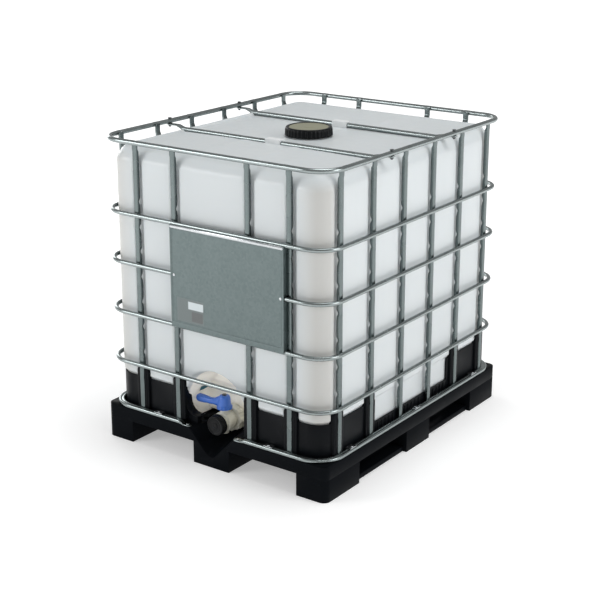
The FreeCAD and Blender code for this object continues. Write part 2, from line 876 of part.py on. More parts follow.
def bottle():
    wall = D["bottle_wall"]
    foot, top = D["strip_top"] - wall, D["neck_top"]
    neck = cylinder(D["neck_radius"], (0, 0, foot), top - foot)
    spout_start = -D["spout_end"]
    spout_long = D["spout_end"] - D["sump_end"]
    spout = cylinder(D["spout_radius"], (0, spout_start, D["valve_level"]), spout_long, "y")
    sump_start = (0, wall - D["niche_back"], D["valve_level"])
    sump_long = D["niche_back"] - D["sump_end"] - wall * 2
    sump = cylinder(D["spout_radius"] - wall, sump_start, sump_long, "y")
    fill = cylinder(D["neck_radius"] - D["neck_wall"], (0, 0, foot - 1), top - foot + 2)
    drain_start = (0, spout_start - 1, D["valve_level"])
    drain_long = D["spout_end"] - D["niche_back"] + wall + 2
    drain = cylinder(D["valve_bore"], drain_start, drain_long, "y")
    shell = join([bottle_block(size(0)), neck, spout])
    return cut(shell, [bottle_block(wall), sump, fill, drain], "bottle_moulding")


def guard_blocks():
    """The guards' ring wall with a pilaster at each upright, before it is parted into corners."""
    inner = D["guard_outer"] - D["guard_thick"]
    step, corner = D["face_step"], D["bottle_corner"] + 1
    outer = D["guard_outer"]
    outer_wall = rounded_block(outer, outer + step, corner, D["deck_top"], D["guard_top"])
    low, high = D["deck_top"] - 1, D["guard_tab_top"] + 1
    foot_room = rounded_block(inner, inner + step, corner - D["guard_thick"], low, high)
    upper_half = D["bottle_half"] + D["free_gap"]
    room = rounded_block(upper_half, upper_half + step, corner, D["guard_top"], high)
    blocks = [outer_wall]
    slots = []
    for _, side, along in POSTS:
        if abs(along.number) < 110:
            continue
        face = half_along(side, POST_FACE)
        start, end = span(along, D["guard_tab_half"])
        out = half_along(side, D["guard_tab_out"])
        blocks.append(box_facing(side, (out - 60, start, RAIL_TOP), (out, end, D["guard_tab_top"])))
        start, end = span(along, D["post_wide"] * 0.5 + D["free_gap"])
        slot_back = face - D["post_deep"] - D["free_gap"]
        slots.append(box_facing(side, (slot_back, start, RAIL_TOP - 1), (face + 5, end, high)))
    return cut(join(blocks), [foot_room, room, *slots], "guard_walls")


def guard(walls, sign_x, sign_y):
    """One corner of the guard walls."""
    far = 700
    low_x, high_x = sorted((D["guard_end_front"] * sign_x, size(far * sign_x)), key=lambda s: s.number)
    low_y, high_y = sorted((size(0), size(far * sign_y)), key=lambda s: s.number)
    front_part = box((low_x, low_y, 0), (high_x, high_y, D["bottle_top"]))
    start_y, end_y = sorted(
        (D["guard_end_side"] * sign_y, size(far * sign_y)), key=lambda s: s.number
    )
    return common([walls, front_part, box((low_x, start_y, 0), (high_x, end_y, D["bottle_top"]))])


def sill(side):
    """A low ribbed wall on the deck between two guards."""
    half = D["guard_end_side"] - D["free_gap"]
    inner = D["guard_outer"] - D["guard_thick"]
    wall = box_facing(side, (inner, -half, D["deck_top"]), (D["guard_outer"], half, D["sill_top"]))
    ribs = []
    for bay in (-180, 0, 180):
        for index in range(-2, 3):
            low, high = span(bay + 25 * index, 3)
            out = D["guard_outer"] + D["sill_rib"]
            ribs.append(
                box_facing(side, (inner, low, D["deck_top"]), (out, high, D["sill_top"] - 6))
            )
    return join([wall, *ribs], "sill")


finish(bottle(), "bottle")
guard_walls = guard_blocks()
for word_y, sign_y in (("front", -1), ("rear", 1)):
    for word_x, sign_x in (("left", -1), ("right", 1)):
        finish(guard(guard_walls, sign_x, sign_y), f"guard_{word_y}_{word_x}")
finish(sill("-x"), "sill_left")
finish(sill("x"), "sill_right")

# --------------------------------------------------------------------------------------------------
# Fill cap
# --------------------------------------------------------------------------------------------------
cap_roof = D["cap_top"] - D["cap_wall"]
cap_shell = cut(
    cylinder(D["cap_radius"], (0, 0, D["cap_low"]), D["cap_top"] - D["cap_low"]),
    [cylinder(D["cap_radius"] - D["cap_wall"], (0, 0, D["cap_low"] - 1), cap_roof - D["cap_low"] + 1)],
)
finish(cap_shell, "fill_cap")
finish(
    pipe(D["neck_radius"] + 4, D["neck_radius"] - D["neck_wall"], (0, 0, D["neck_top"]), D["seal_thick"]),
    "fill_cap_seal",
)

# --------------------------------------------------------------------------------------------------
# Label plate
# --------------------------------------------------------------------------------------------------
def label_plate():
    """A sheet across the front of the cage with its two side edges folded back."""
    back = half_along("-y", D["hoop_half"]) + D["hoop_radius"]
    face = back + D["plate_sheet"]
    left, right = -D["plate_left"], D["plate_right"]
    low, high = D["plate_low"], D["plate_high"]
    sheet = box((left, -face, low), (right, -back, high))
    fold_in = -back + D["plate_flange"]
    lip_in = -back + D["plate_lip"]
    pieces = [sheet]
    upper_lip = D["hoop_level_a"] - D["hoop_radius"]
    lower_lip = D["hoop_level_c"] + D["hoop_radius"] + D["plate_sheet"]
    for top in (upper_lip, lower_lip):
        pieces.append(box((left, -face, top - D["plate_sheet"]), (right, lip_in, top)))
    for start in (left, right - D["plate_sheet"]):
        fold_low = D["hoop_level_c"] + D["plate_notch"]
        fold_high = D["hoop_level_a"] - D["plate_notch"]
        pieces.append(box((start, -face, fold_low), (start + D["plate_sheet"], fold_in, fold_high)))
    notch_low, notch_high = span(D["hoop_level_b"], D["plate_notch"])
    notch = box((left - 1, -back, notch_low), (right + 1, fold_in + 1, notch_high))
    return cut(join(pieces), [notch, PLATE_RIVETS])


finish(label_plate(), "label_plate")
finish(PLATE_RIVETS, "plate_rivets")
label_back = -half_along("-y", D["hoop_half"]) - D["hoop_radius"] - D["plate_sheet"]
label_left = D["label_in"] - D["plate_left"]
label_low = D["plate_low"] + D["label_in"]
finish(
    box(
        (label_left, label_back - D["label_thick"], label_low),
        (label_left + D["label_wide"], label_back, label_low + D["label_high"]),
    ),
    "plate_label",
)

# --------------------------------------------------------------------------------------------------
# Outlet valve, closed
# --------------------------------------------------------------------------------------------------
LEVEL = D["valve_level"]
FLANGE_BACK = -D["spout_end"] - D["seal_thick"]  # the face of the valve's own flange
FLANGE_FRONT = FLANGE_BACK - D["valve_flange_thick"]
NUT_BACK = -D["niche_back"] - 4
NUT_FRONT = FLANGE_FRONT - D["nut_lip"]


def outlet_nut():
    """A ring nut round the spout that pulls the valve's flange on to its seal."""
    whole = cylinder(D["nut_radius"], (0, NUT_FRONT, LEVEL), NUT_BACK - NUT_FRONT, "y")
    gap = D["running_gap"]
    spout_start = -D["spout_end"] - gap
    on_spout = cylinder(D["spout_radius"] + gap, (0, spout_start, LEVEL), NUT_BACK + 1 - spout_start, "y")
    pocket = cylinder(D["valve_flange"] + gap, (0, FLANGE_FRONT, LEVEL), spout_start - FLANGE_FRONT, "y")
    lip = cylinder(D["valve_tube"] + gap, (0, NUT_FRONT - 1, LEVEL), D["nut_lip"] + 2, "y")
    return cut(whole, [on_spout, pocket, lip])


def valve_body():
    """The flanged valve tube with the boss that carries the stem."""
    end = -D["valve_end"]
    tube = cylinder(D["valve_tube"], (0, end, LEVEL), FLANGE_BACK - end, "y")
    flange = cylinder(D["valve_flange"], (0, FLANGE_FRONT, LEVEL), D["valve_flange_thick"], "y")
    barrel_start = -D["stem_y"] - D["barrel_half"] * 0.5
    barrel = cylinder(D["barrel_radius"], (0, barrel_start, LEVEL), D["barrel_half"], "y")
    axis = (0, -D["stem_y"])
    boss = cylinder(D["stem_boss_radius"], (*axis, LEVEL), D["stem_boss_top"] - LEVEL)
    foot = cylinder(D["stem_boss_radius"], (*axis, D["stem_foot"] - 6), LEVEL - D["stem_foot"] + 6)
    bore = cylinder(D["valve_bore"], (0, end - 1, LEVEL), FLANGE_BACK - end + 2, "y")
    stem_hole = cylinder(
        D["stem_radius"] + D["running_gap"],
        (*axis, D["stem_foot"] - D["running_gap"]),
        D["stem_boss_top"] + 1 - D["stem_foot"],
    )
    seal_room = cylinder(D["stem_seal_radius"], (*axis, SEAL_LOW), D["stem_boss_top"] + 1 - SEAL_LOW)
    return cut(join([tube, flange, barrel, boss, foot]), [bore, stem_hole, seal_room])


SEAL_LOW = D["stem_boss_top"] - D["seal_thick"] * 2
finish(outlet_nut(), "outlet_nut")
finish(
    pipe(D["spout_radius"], D["valve_bore"], (0, FLANGE_BACK, LEVEL), D["seal_thick"], "y"),
    "outlet_seal",
)
finish(valve_body(), "valve_body")
finish(
    pipe(
        D["stem_seal_radius"],
        D["stem_radius"] + D["running_gap"],
        (0, -D["stem_y"], SEAL_LOW),
        D["seal_thick"] * 2,
    ),
    "stem_seal",
)
stem_long = D["hub_top"] - D["stem_foot"]
stem = cylinder(D["stem_radius"], (0, -D["stem_y"], D["stem_foot"]), stem_long)
plate_start = -D["stem_y"] - D["disc_thick"] * 0.5
disc_plate = cylinder(D["valve_bore"], (0, plate_start, LEVEL), D["disc_thick"], "y")
disc_ball = doc.addObject("Part::Sphere", "disc_ball")
bind(disc_ball, "Radius", D["valve_bore"] - D["running_gap"])
place(disc_ball, (0, -D["stem_y"], LEVEL))
disc_hub = cylinder(D["disc_hub_radius"], (0, -D["stem_y"], LEVEL - D["valve_bore"]), D["valve_bore"] * 2)
finish(cut(common([join([disc_plate, disc_hub]), disc_ball]), [stem]), "valve_disc")


def handle():
    """A hub on the stem with one lever, which lies across the outlet when the valve is closed."""
    axis = (0, -D["stem_y"])
    hub = cylinder(D["hub_radius"], (*axis, D["hub_low"]), D["hub_top"] - D["hub_low"])
    lever = doc.addObject("Part::Wedge", "lever")
    for prop, value in (
        ("Xmin", -D["lever_half"]),
        ("Xmax", D["lever_half"]),
        ("X2min", -D["lever_tip_half"]),
        ("X2max", D["lever_tip_half"]),
        ("Ymin", 0),
        ("Ymax", D["lever_long"]),
        ("Zmin", D["lever_low"]),
        ("Zmax", D["lever_high"]),
        ("Z2min", D["lever_low"]),
        ("Z2max", D["lever_high"]),
    ):
        bind(lever, prop, value)
    place(lever, (*axis, 0), (0, 0, 1), 90)
    return cut(join([hub, lever]), [stem, HANDLE_SCREW])


screw_seat = D["hub_top"]
HANDLE_SCREW = join(
    [
        cylinder(D["screw_head_radius"] + 2, (0, -D["stem_y"], screw_seat), D["screw_head_high"]),
        cylinder(D["screw_radius"], (0, -D["stem_y"], screw_seat - 20), 20),
    ],
    "handle_screw_blank",
)
finish(cut(stem, [HANDLE_SCREW]), "valve_stem")
finish(handle(), "valve_handle")
finish(HANDLE_SCREW, "handle_screw")

cap_face = -D["valve_end"] - D["seal_thick"] - D["outlet_cap_wall"]
cap_deep = D["outlet_cap_deep"]
cap_bore = D["outlet_cap_radius"] - D["outlet_cap_wall"]
cap_blank = cylinder(D["outlet_cap_radius"], (0, cap_face, LEVEL), cap_deep, "y")
cap_hollow_start = cap_face + D["outlet_cap_wall"]
cap_hollow = cylinder(cap_bore, (0, cap_hollow_start, LEVEL), cap_deep, "y")
finish(cut(cap_blank, [cap_hollow]), "outlet_cap")
finish(
    cylinder(D["valve_tube"], (0, cap_hollow_start, LEVEL), D["seal_thick"], "y"),
    "outlet_cap_seal",
)

# --------------------------------------------------------------------------------------------------
# Check every sub-part, then write one file for each
# --------------------------------------------------------------------------------------------------
doc.recompute()
for item in doc.Objects:
    if "Invalid" in item.State or "Error" in item.State:
        raise RuntimeError(f"{item.Name} did not compute: {item.State}")
os.makedirs("parts", exist_ok=True)
for piece in FINISHED:
    shape = piece.Shape
    if shape.isNull() or not shape.isValid() or shape.Volume <= 0:
        raise RuntimeError(f"{piece.Label} has no valid solid")
    shape.exportStep(f"parts/{piece.Label}.step")
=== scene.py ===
"""Looks of the intermediate bulk container: moulded bottle, welded cage, pallet, caps and valve."""

import math

import bmesh
import bpy
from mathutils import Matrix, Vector


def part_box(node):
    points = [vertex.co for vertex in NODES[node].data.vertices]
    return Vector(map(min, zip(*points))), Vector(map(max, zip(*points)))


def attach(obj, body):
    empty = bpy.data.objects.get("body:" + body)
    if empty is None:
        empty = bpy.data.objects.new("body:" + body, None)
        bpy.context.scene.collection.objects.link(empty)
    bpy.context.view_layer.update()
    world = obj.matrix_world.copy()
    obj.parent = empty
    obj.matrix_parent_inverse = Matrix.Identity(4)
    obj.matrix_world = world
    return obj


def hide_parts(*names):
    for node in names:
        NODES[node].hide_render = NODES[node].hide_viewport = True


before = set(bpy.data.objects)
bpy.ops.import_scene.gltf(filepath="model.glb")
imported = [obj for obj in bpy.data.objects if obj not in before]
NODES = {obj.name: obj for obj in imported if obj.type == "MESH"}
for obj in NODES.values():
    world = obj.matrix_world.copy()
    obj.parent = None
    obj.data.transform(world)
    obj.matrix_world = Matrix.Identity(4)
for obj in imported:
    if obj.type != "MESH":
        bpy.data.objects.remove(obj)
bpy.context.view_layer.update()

MM = 0.001


def clamp(value, low=0.0, high=1.0):
    return max(low, min(high, value))


def smoothstep(low, high, value):
    t = clamp((value - low) / (high - low))
    return t * t * (3 - 2 * t)


def mix(a, b, t):
    return a + (b - a) * t


# --------------------------------------------------------------------------------------------------
# Sizes read from the frame
# --------------------------------------------------------------------------------------------------
def low_of(node):
    return Vector(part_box(node)[0])


def high_of(node):
    return Vector(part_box(node)[1])


def centre_of(node):
    return (low_of(node) + high_of(node)) / 2


class Post:
    """Where an upright stands: its face's outward direction, and its size across and in depth."""

    def __init__(self, node):
        self.node = node
        low, high, middle = low_of(node), high_of(node), centre_of(node)
        side = node.split("_")[1]
        self.out = {
            "front": Vector((0, -1, 0)),
            "rear": Vector((0, 1, 0)),
            "left": Vector((-1, 0, 0)),
            "right": Vector((1, 0, 0)),
        }[side]
        self.across = Vector((0, 0, 1)).cross(self.out)
        self.middle = middle
        self.bottom, self.top = low.z, high.z
        size = high - low
        self.depth, self.width = (size.y, size.x) if self.out.y else (size.x, size.y)
        self.outer_face = middle + self.out * self.depth / 2


POSTS = [Post(name) for name in sorted(NODES) if name.startswith("upright_")]
HOOPS = sorted(name for name in NODES if name.startswith("hoop_"))
HOOP_LEVELS = [centre_of(name).z for name in HOOPS]
HOOP_CORNER = 90 * MM
WELD_FLAT = 1.6 * MM
DENT_FROM_WELD = 47 * MM
RAIL_WIDTH = 24 * MM
RAIL_END = 99 * MM
DECK_TOP = low_of("base_rail").z
RAIL_TOP = high_of("base_rail").z
VALVE_LEVEL = centre_of("outlet_cap").z
STEM = centre_of("valve_stem")


# --------------------------------------------------------------------------------------------------
# Materials
# --------------------------------------------------------------------------------------------------
def new_material(name):
    material = bpy.data.materials.new(name)
    material.use_nodes = True
    tree = material.node_tree
    shader = tree.nodes["Principled BSDF"]
    return material, tree, shader


def link(tree, source, target):
    tree.links.new(source, target)


def texture(tree, kind, scale, stretch=(1, 1, 1), **settings):
    """A procedural texture in the object's own coordinates, in metres times the scale."""
    coords = tree.nodes.new("ShaderNodeTexCoord")
    mapping = tree.nodes.new("ShaderNodeMapping")
    mapping.inputs["Scale"].default_value = stretch
    node = tree.nodes.new(f"ShaderNodeTex{kind}")
    node.inputs["Scale"].default_value = scale
    for key, value in settings.items():
        node.inputs[key].default_value = value
    link(tree, coords.outputs["Object"], mapping.inputs["Vector"])
    link(tree, mapping.outputs["Vector"], node.inputs["Vector"])
    return node


def remap(tree, source, low, high, from_low=0.0, from_high=1.0):
    node = tree.nodes.new("ShaderNodeMapRange")
    for key, value in (
        ("From Min", from_low),
        ("From Max", from_high),
        ("To Min", low),
        ("To Max", high),
    ):
        node.inputs[key].default_value = value
    link(tree, source, node.inputs["Value"])
    return node.outputs["Result"]


def product(tree, *factors):
    """The factors multiplied together."""
    result = factors[0]
    for factor in factors[1:]:
        node = tree.nodes.new("ShaderNodeMath")
        node.operation = "MULTIPLY"
        link(tree, result, node.inputs[0])
        link(tree, factor, node.inputs[1])
        result = node.outputs[0]
    return result


def blend_colours(tree, factor, first, second):
    node = tree.nodes.new("ShaderNodeMix")
    node.data_type = "RGBA"
    node.inputs[6].default_value = (*first, 1)
    node.inputs[7].default_value = (*second, 1)
    link(tree, factor, node.inputs[0])
    return node.outputs[2]


def add_bump(tree, shader, height, strength, distance):
    bump = tree.nodes.new("ShaderNodeBump")
    bump.inputs["Strength"].default_value = strength
    bump.inputs["Distance"].default_value = distance
    link(tree, height, bump.inputs["Height"])
    link(tree, bump.outputs["Normal"], shader.inputs["Normal"])


def moulded_plastic(name, dark, light, rough, coat=0.0, shine=0.5):
    """Moulded plastic: slightly uneven colour and gloss over a fine surface grain."""
    material, tree, shader = new_material(name)
    clouds = texture(tree, "Noise", 9, Detail=4)
    link(tree, blend_colours(tree, clouds.outputs["Fac"], dark, light), shader.inputs["Base Color"])
    rough_low, rough_high = rough
    level = remap(tree, clouds.outputs["Fac"], rough_low, rough_high, 0.3, 0.7)
    link(tree, level, shader.inputs["Roughness"])
    shader.inputs["Coat Weight"].default_value = coat
    shader.inputs["Coat Roughness"].default_value = 0.25
    shader.inputs["Specular IOR Level"].default_value = shine
    fine = texture(tree, "Noise", 900, Detail=2)
    add_bump(tree, shader, fine.outputs["Fac"], 0.35, 0.00012)
    return material


def galvanised(name, dark, light, rough, cell=60):
    """Zinc coating: patches of crystals that differ in tone and gloss."""
    material, tree, shader = new_material(name)
    crystals = texture(tree, "Voronoi", cell, Randomness=1.0)
    clouds = texture(tree, "Noise", 14, Detail=5)
    tone = tree.nodes.new("ShaderNodeMix")
    tone.inputs[0].default_value = 0.55
    link(tree, crystals.outputs["Color"], tone.inputs[2])
    link(tree, clouds.outputs["Fac"], tone.inputs[3])
    link(tree, blend_colours(tree, tone.outputs[0], dark, light), shader.inputs["Base Color"])
    shader.inputs["Metallic"].default_value = 1.0
    level = remap(tree, tone.outputs[0], *rough, 0.2, 0.8)
    link(tree, level, shader.inputs["Roughness"])
    fine = texture(tree, "Noise", 220, Detail=4)
    add_bump(tree, shader, fine.outputs["Fac"], 0.12, 0.0002)
    return material


def painted_corner_shade(tree, split, skin):
    """Painted shade: a darker and a little warmer colour in the bottle's upright corners."""
    reach = []
    for axis in ("X", "Y"):
        node = tree.nodes.new("ShaderNodeMath")
        node.operation = "ABSOLUTE"
        link(tree, split.outputs[axis], node.inputs[0])
        reach.append(node.outputs[0])
    corner_shade_mask = product(
        tree,
        remap(tree, reach[0], 0, 1, 0.36, 0.43),
        remap(tree, reach[1], 0, 1, 0.46, 0.53),
        remap(tree, split.outputs["Z"], 1, 0, 1.06, 1.10),
    )
    tint = tree.nodes.new("ShaderNodeMix")
    tint.data_type = "RGBA"
    link(tree, corner_shade_mask, tint.inputs[0])
    link(tree, skin, tint.inputs[6])
    # Painted shade: the darker, warmer grey laid over the corners.
    tint.inputs[7].default_value = (0.555, 0.555, 0.535, 1)
    return tint.outputs[2]


def bottle_plastic():
    """Natural polyethylene: milky, softly translucent, warm in the niche where it is also lightened
    and glows as painted light, and darkened by painted shade in the corners.
    """
    material, tree, shader = new_material("milky polyethylene")
    clouds = texture(tree, "Noise", 2.2, (1, 1, 0.35), Detail=3)
    skin = blend_colours(tree, clouds.outputs["Fac"], (0.60, 0.64, 0.655), (0.67, 0.705, 0.715))
    coords = tree.nodes.new("ShaderNodeTexCoord")
    split = tree.nodes.new("ShaderNodeSeparateXYZ")
    link(tree, coords.outputs["Object"], split.inputs[0])
    # In the valve niche the skin takes its warm beige tone, made much lighter than the rest of the
    # skin as painted light against the recess's shade.
    in_niche = product(
        tree,
        remap(tree, split.outputs["Y"], 0, 1, -0.553, -0.543),
        remap(tree, split.outputs["Y"], 1, 0, -0.44, -0.43),
        remap(tree, split.outputs["Z"], 1, 0, 0.34, 0.37),
        remap(tree, split.outputs["X"], 0, 1, -0.15, -0.14),
        remap(tree, split.outputs["X"], 1, 0, 0.14, 0.15),
    )
    niche_tone_and_painted_light = tree.nodes.new("ShaderNodeMix")
    niche_tone_and_painted_light.data_type = "RGBA"
    link(tree, in_niche, niche_tone_and_painted_light.inputs[0])
    link(tree, painted_corner_shade(tree, split, skin), niche_tone_and_painted_light.inputs[6])
    niche_tone_and_painted_light.inputs[7].default_value = (0.89, 0.87, 0.80, 1)
    # Painted light: a faint glow in the niche, so the recess looks as lit as the front face.
    glow = product(tree, in_niche, remap(tree, clouds.outputs["Fac"], 0.10, 0.16))
    shader.inputs["Emission Color"].default_value = (1.0, 0.95, 0.84, 1)
    link(tree, glow, shader.inputs["Emission Strength"])
    link(tree, niche_tone_and_painted_light.outputs[2], shader.inputs["Base Color"])
    streaks = texture(tree, "Noise", 30, (1, 1, 0.06), Detail=3)
    level = remap(tree, streaks.outputs["Fac"], 0.30, 0.42, 0.3, 0.7)
    link(tree, level, shader.inputs["Roughness"])
    shader.inputs["Subsurface Weight"].default_value = 0.35
    shader.inputs["Subsurface Radius"].default_value = (0.05, 0.055, 0.06)
    shader.inputs["Subsurface Scale"].default_value = 0.5
    shader.inputs["IOR"].default_value = 1.5
    add_bump(tree, shader, streaks.outputs["Fac"], 0.12, 0.0015)
    return material


def printed_film():
    """A small printed film shown blank, with one pale and one dark block."""
    material, tree, shader = new_material("printed film")
    coords = tree.nodes.new("ShaderNodeTexCoord")
    split = tree.nodes.new("ShaderNodeSeparateXYZ")
    link(tree, coords.outputs["Generated"], split.inputs[0])

    def block(left, right, low, high):
        return product(
            tree,
            remap(tree, split.outputs["X"], 0, 1, left - 0.01, left + 0.01),
            remap(tree, split.outputs["X"], 1, 0, right - 0.01, right + 0.01),
            remap(tree, split.outputs["Z"], 0, 1, low - 0.01, low + 0.01),
            remap(tree, split.outputs["Z"], 1, 0, high - 0.01, high + 0.01),
        )

    pale_block = block(0.42, 0.98, 0.58, 0.90)
    pale = blend_colours(tree, pale_block, (0.15, 0.18, 0.18), (0.60, 0.66, 0.68))
    dark = tree.nodes.new("ShaderNodeMix")
    dark.data_type = "RGBA"
    link(tree, block(0.55, 0.96, 0.08, 0.50), dark.inputs[0])
    link(tree, pale, dark.inputs[6])
    dark.inputs[7].default_value = (0.12, 0.13, 0.13, 1)
    link(tree, dark.outputs[2], shader.inputs["Base Color"])
    grain = texture(tree, "Noise", 60, Detail=3)
    link(tree, remap(tree, grain.outputs["Fac"], 0.35, 0.5), shader.inputs["Roughness"])
    return material


BOTTLE = bottle_plastic()
SPOUT = moulded_plastic("outlet stub", (0.70, 0.68, 0.60), (0.78, 0.76, 0.68), (0.35, 0.5))
TEAL = moulded_plastic("teal film", (0.02, 0.14, 0.19), (0.03, 0.18, 0.24), (0.4, 0.5))
FILM = printed_film()
SOOT = ((0.003, 0.004, 0.005), (0.006, 0.007, 0.009), (0.28, 0.45))
BLACK = moulded_plastic("black polyethylene", *SOOT, shine=0.08)
PALLET_BLACK = moulded_plastic("black pallet", *SOOT, shine=0.02)
CAP_BLACK = moulded_plastic(
    "black cap", (0.003, 0.0035, 0.004), (0.006, 0.007, 0.008), (0.28, 0.4), shine=0.16
)
CAP_DISC = moulded_plastic(
    "cap disc", (0.23, 0.23, 0.16), (0.29, 0.29, 0.21), (0.4, 0.55), shine=0.25
)
BLUE = moulded_plastic(
    "blue handle", (0.035, 0.13, 0.52), (0.05, 0.17, 0.62), (0.3, 0.42), coat=0.1
)
NATURAL = moulded_plastic(
    "natural valve", (0.66, 0.65, 0.56), (0.76, 0.75, 0.66), (0.32, 0.45), coat=0.15
)
SEAL = moulded_plastic("seal rubber", (0.015, 0.015, 0.015), (0.03, 0.03, 0.03), (0.6, 0.8))
WHITE = moulded_plastic("white saddle", (0.74, 0.76, 0.77), (0.82, 0.84, 0.84), (0.35, 0.5))
# Two tones of the one galvanised steel stand in for light: the uprights darker as painted shade for
# the dark reflections on their flat faces, the round tubes lighter as painted light on their lit
# tops.
TUBE = galvanised(
    "galvanised upright in painted shade", (0.115, 0.14, 0.14), (0.18, 0.21, 0.21), (0.20, 0.32), cell=24
)
ROUND_TUBE = galvanised(
    "galvanised hoop in painted light", (0.24, 0.27, 0.27), (0.34, 0.38, 0.38), (0.18, 0.3), cell=24
)
SHEET = galvanised("zinc sheet", (0.11, 0.14, 0.14), (0.19, 0.23, 0.23), (0.38, 0.52), cell=110)
# Bright zinc for screws, brackets, rivets and the valve stem; on the plate's bead the same bright
# finish is a painted highlight.
BRIGHT = galvanised("bright zinc", (0.45, 0.48, 0.50), (0.65, 0.67, 0.68), (0.18, 0.3))
DARK_STEEL = galvanised("dark plated steel", (0.06, 0.065, 0.07), (0.13, 0.14, 0.14), (0.3, 0.45))


# --------------------------------------------------------------------------------------------------
# Mesh helpers
# --------------------------------------------------------------------------------------------------
def make_object(name, vertices, faces, material, body, sharp=40):
    """A mesh object that rides on a CAD body. Edges sharper than the angle shade hard."""
    mesh = bpy.data.meshes.new(name)
    mesh.from_pydata([tuple(v) for v in vertices], [], faces)
    mesh.validate()
    shape = bmesh.new()
    shape.from_mesh(mesh)
    bmesh.ops.recalc_face_normals(shape, faces=shape.faces)
    shape.to_mesh(mesh)
    shape.free()
    item = bpy.data.objects.new(name, mesh)
    bpy.context.scene.collection.objects.link(item)
    mesh.materials.append(material)
    mesh.shade_smooth()
    mesh.set_sharp_from_angle(angle=math.radians(sharp))
    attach(item, body)
    return item


class Builder:
    """Collects vertices and faces for one mesh."""

    def __init__(self):
        self.vertices = []
        self.faces = []

    def grid(self, rows, closed_across=True, closed_along=False, cap_start=False, cap_end=False):
        """Joins rows of points. Each row has the same number of points."""
        base = len(self.vertices)
        count = len(rows[0])
        for row in rows:
            self.vertices.extend(Vector(p) for p in row)
        spans = len(rows) if closed_along else len(rows) - 1
        steps = count if closed_across else count - 1
        for i in range(spans):
            a = base + i * count
            b = base + ((i + 1) % len(rows)) * count
            for j in range(steps):
                k = (j + 1) % count
                self.faces.append((a + j, a + k, b + k, b + j))
        if cap_start:
            self.faces.append(tuple(base + j for j in range(count)))
        if cap_end:
            end = base + (len(rows) - 1) * count
            self.faces.append(tuple(end + j for j in range(count)))

    def build(self, name, material, body, sharp=40):
        return make_object(name, self.vertices, self.faces, material, body, sharp)


def rounded_section(width, height, corner, per_corner=4):
    """A rounded rectangle about the origin as (across, up) points, anticlockwise."""
    points = []
    reach_x, reach_y = width / 2 - corner, height / 2 - corner
    for quarter, (sx, sy) in enumerate(((1, 1), (-1, 1), (-1, -1), (1, -1))):
        for i in range(per_corner + 1):
            angle = math.pi / 2 * (quarter + i / per_corner)
            x = sx * reach_x + corner * math.cos(angle)
            y = sy * reach_y + corner * math.sin(angle)
            points.append((x, y))
    return points


def circle_section(radius, count=18):
    turn = 2 * math.pi / count
    return [(radius * math.cos(turn * i), radius * math.sin(turn * i)) for i in range(count)]


class Loop:
    """A level rounded rectangle, measured clockwise from above from the middle of the rear."""

    def __init__(self, half_x, half_y, corner):
        self.corner = corner
        bend = corner * math.pi / 2
        reach_x, reach_y = half_x - corner, half_y - corner
        self.parts = [
            ("line", Vector((0, half_y)), Vector((1, 0)), reach_x),
            ("bend", Vector((reach_x, reach_y)), math.pi / 2, bend),
            ("line", Vector((half_x, reach_y)), Vector((0, -1)), reach_y * 2),
            ("bend", Vector((reach_x, -reach_y)), 0, bend),
            ("line", Vector((reach_x, -half_y)), Vector((-1, 0)), reach_x * 2),
            ("bend", Vector((-reach_x, -reach_y)), -math.pi / 2, bend),
            ("line", Vector((-half_x, -reach_y)), Vector((0, 1)), reach_y * 2),
            ("bend", Vector((-reach_x, reach_y)), math.pi, bend),
            ("line", Vector((-reach_x, half_y)), Vector((1, 0)), reach_x),
        ]
        self.length = sum(part[3] for part in self.parts)

    def at(self, distance):
        """(point, outward direction) in the plane."""
        distance %= self.length
        for kind, start, way, length in self.parts:
            if distance <= length:
                break
            distance -= length
        if kind == "line":
            return start + way * distance, Vector((-way.y, way.x))
        angle = way - distance / self.corner
        out = Vector((math.cos(angle), math.sin(angle)))
        return start + out * self.corner, out

    def nearest(self, x, y):
        """The distance along the loop of its nearest point to (x, y)."""
        best = min(
            range(2000),
            key=lambda i: (self.at(self.length * i / 2000)[0] - Vector((x, y))).length_squared,
        )
        return self.length * best / 2000

    def stations(self, step, stops=(), fine=0.0, fine_step=0.0):
        """Distances along the loop, closer together near the stops."""
        found = []
        distance = 0.0
        while distance < self.length - fine_step * 0.5 - 1e-6:
            found.append(distance)
            near = min((self.apart(distance, stop) for stop in stops), default=1e9)
            distance += fine_step if near < fine else step
        return found

    def apart(self, a, b):
        gap = abs(a - b) % self.length
        return min(gap, self.length - gap)


def loop_tube(builder, loop, level, stations, section_at, closed=True):
    """Sweeps section_at(distance), a list of (outward, up) points, round a loop."""
    rows = []
    for distance in stations:
        point, out = loop.at(distance)
        row = []
        for outward, up in section_at(distance):
            row.append((point.x + out.x * outward, point.y + out.y * outward, level + up))
        rows.append(row)
    builder.grid(rows, closed_along=closed, cap_start=not closed, cap_end=not closed)


def lathe(builder, profile, origin, along, segments=72, ripple=None):
    """Turns (along, radius) points about an axis. ripple(angle, along) adds to the radius."""
    way = Vector(along).normalized()
    side = Vector((0, 0, 1)) if abs(way.z) < 0.5 else Vector((1, 0, 0))
    other = way.cross(side)
    rows = []
    for distance, radius in profile:
        row = []
        for i in range(segments):
            angle = 2 * math.pi * i / segments
            r = radius + (ripple(angle, distance) if ripple else 0)
            spoke = side * math.cos(angle) + other * math.sin(angle)
            row.append(origin + way * distance + spoke * r)
        rows.append(row)
    builder.grid(rows)


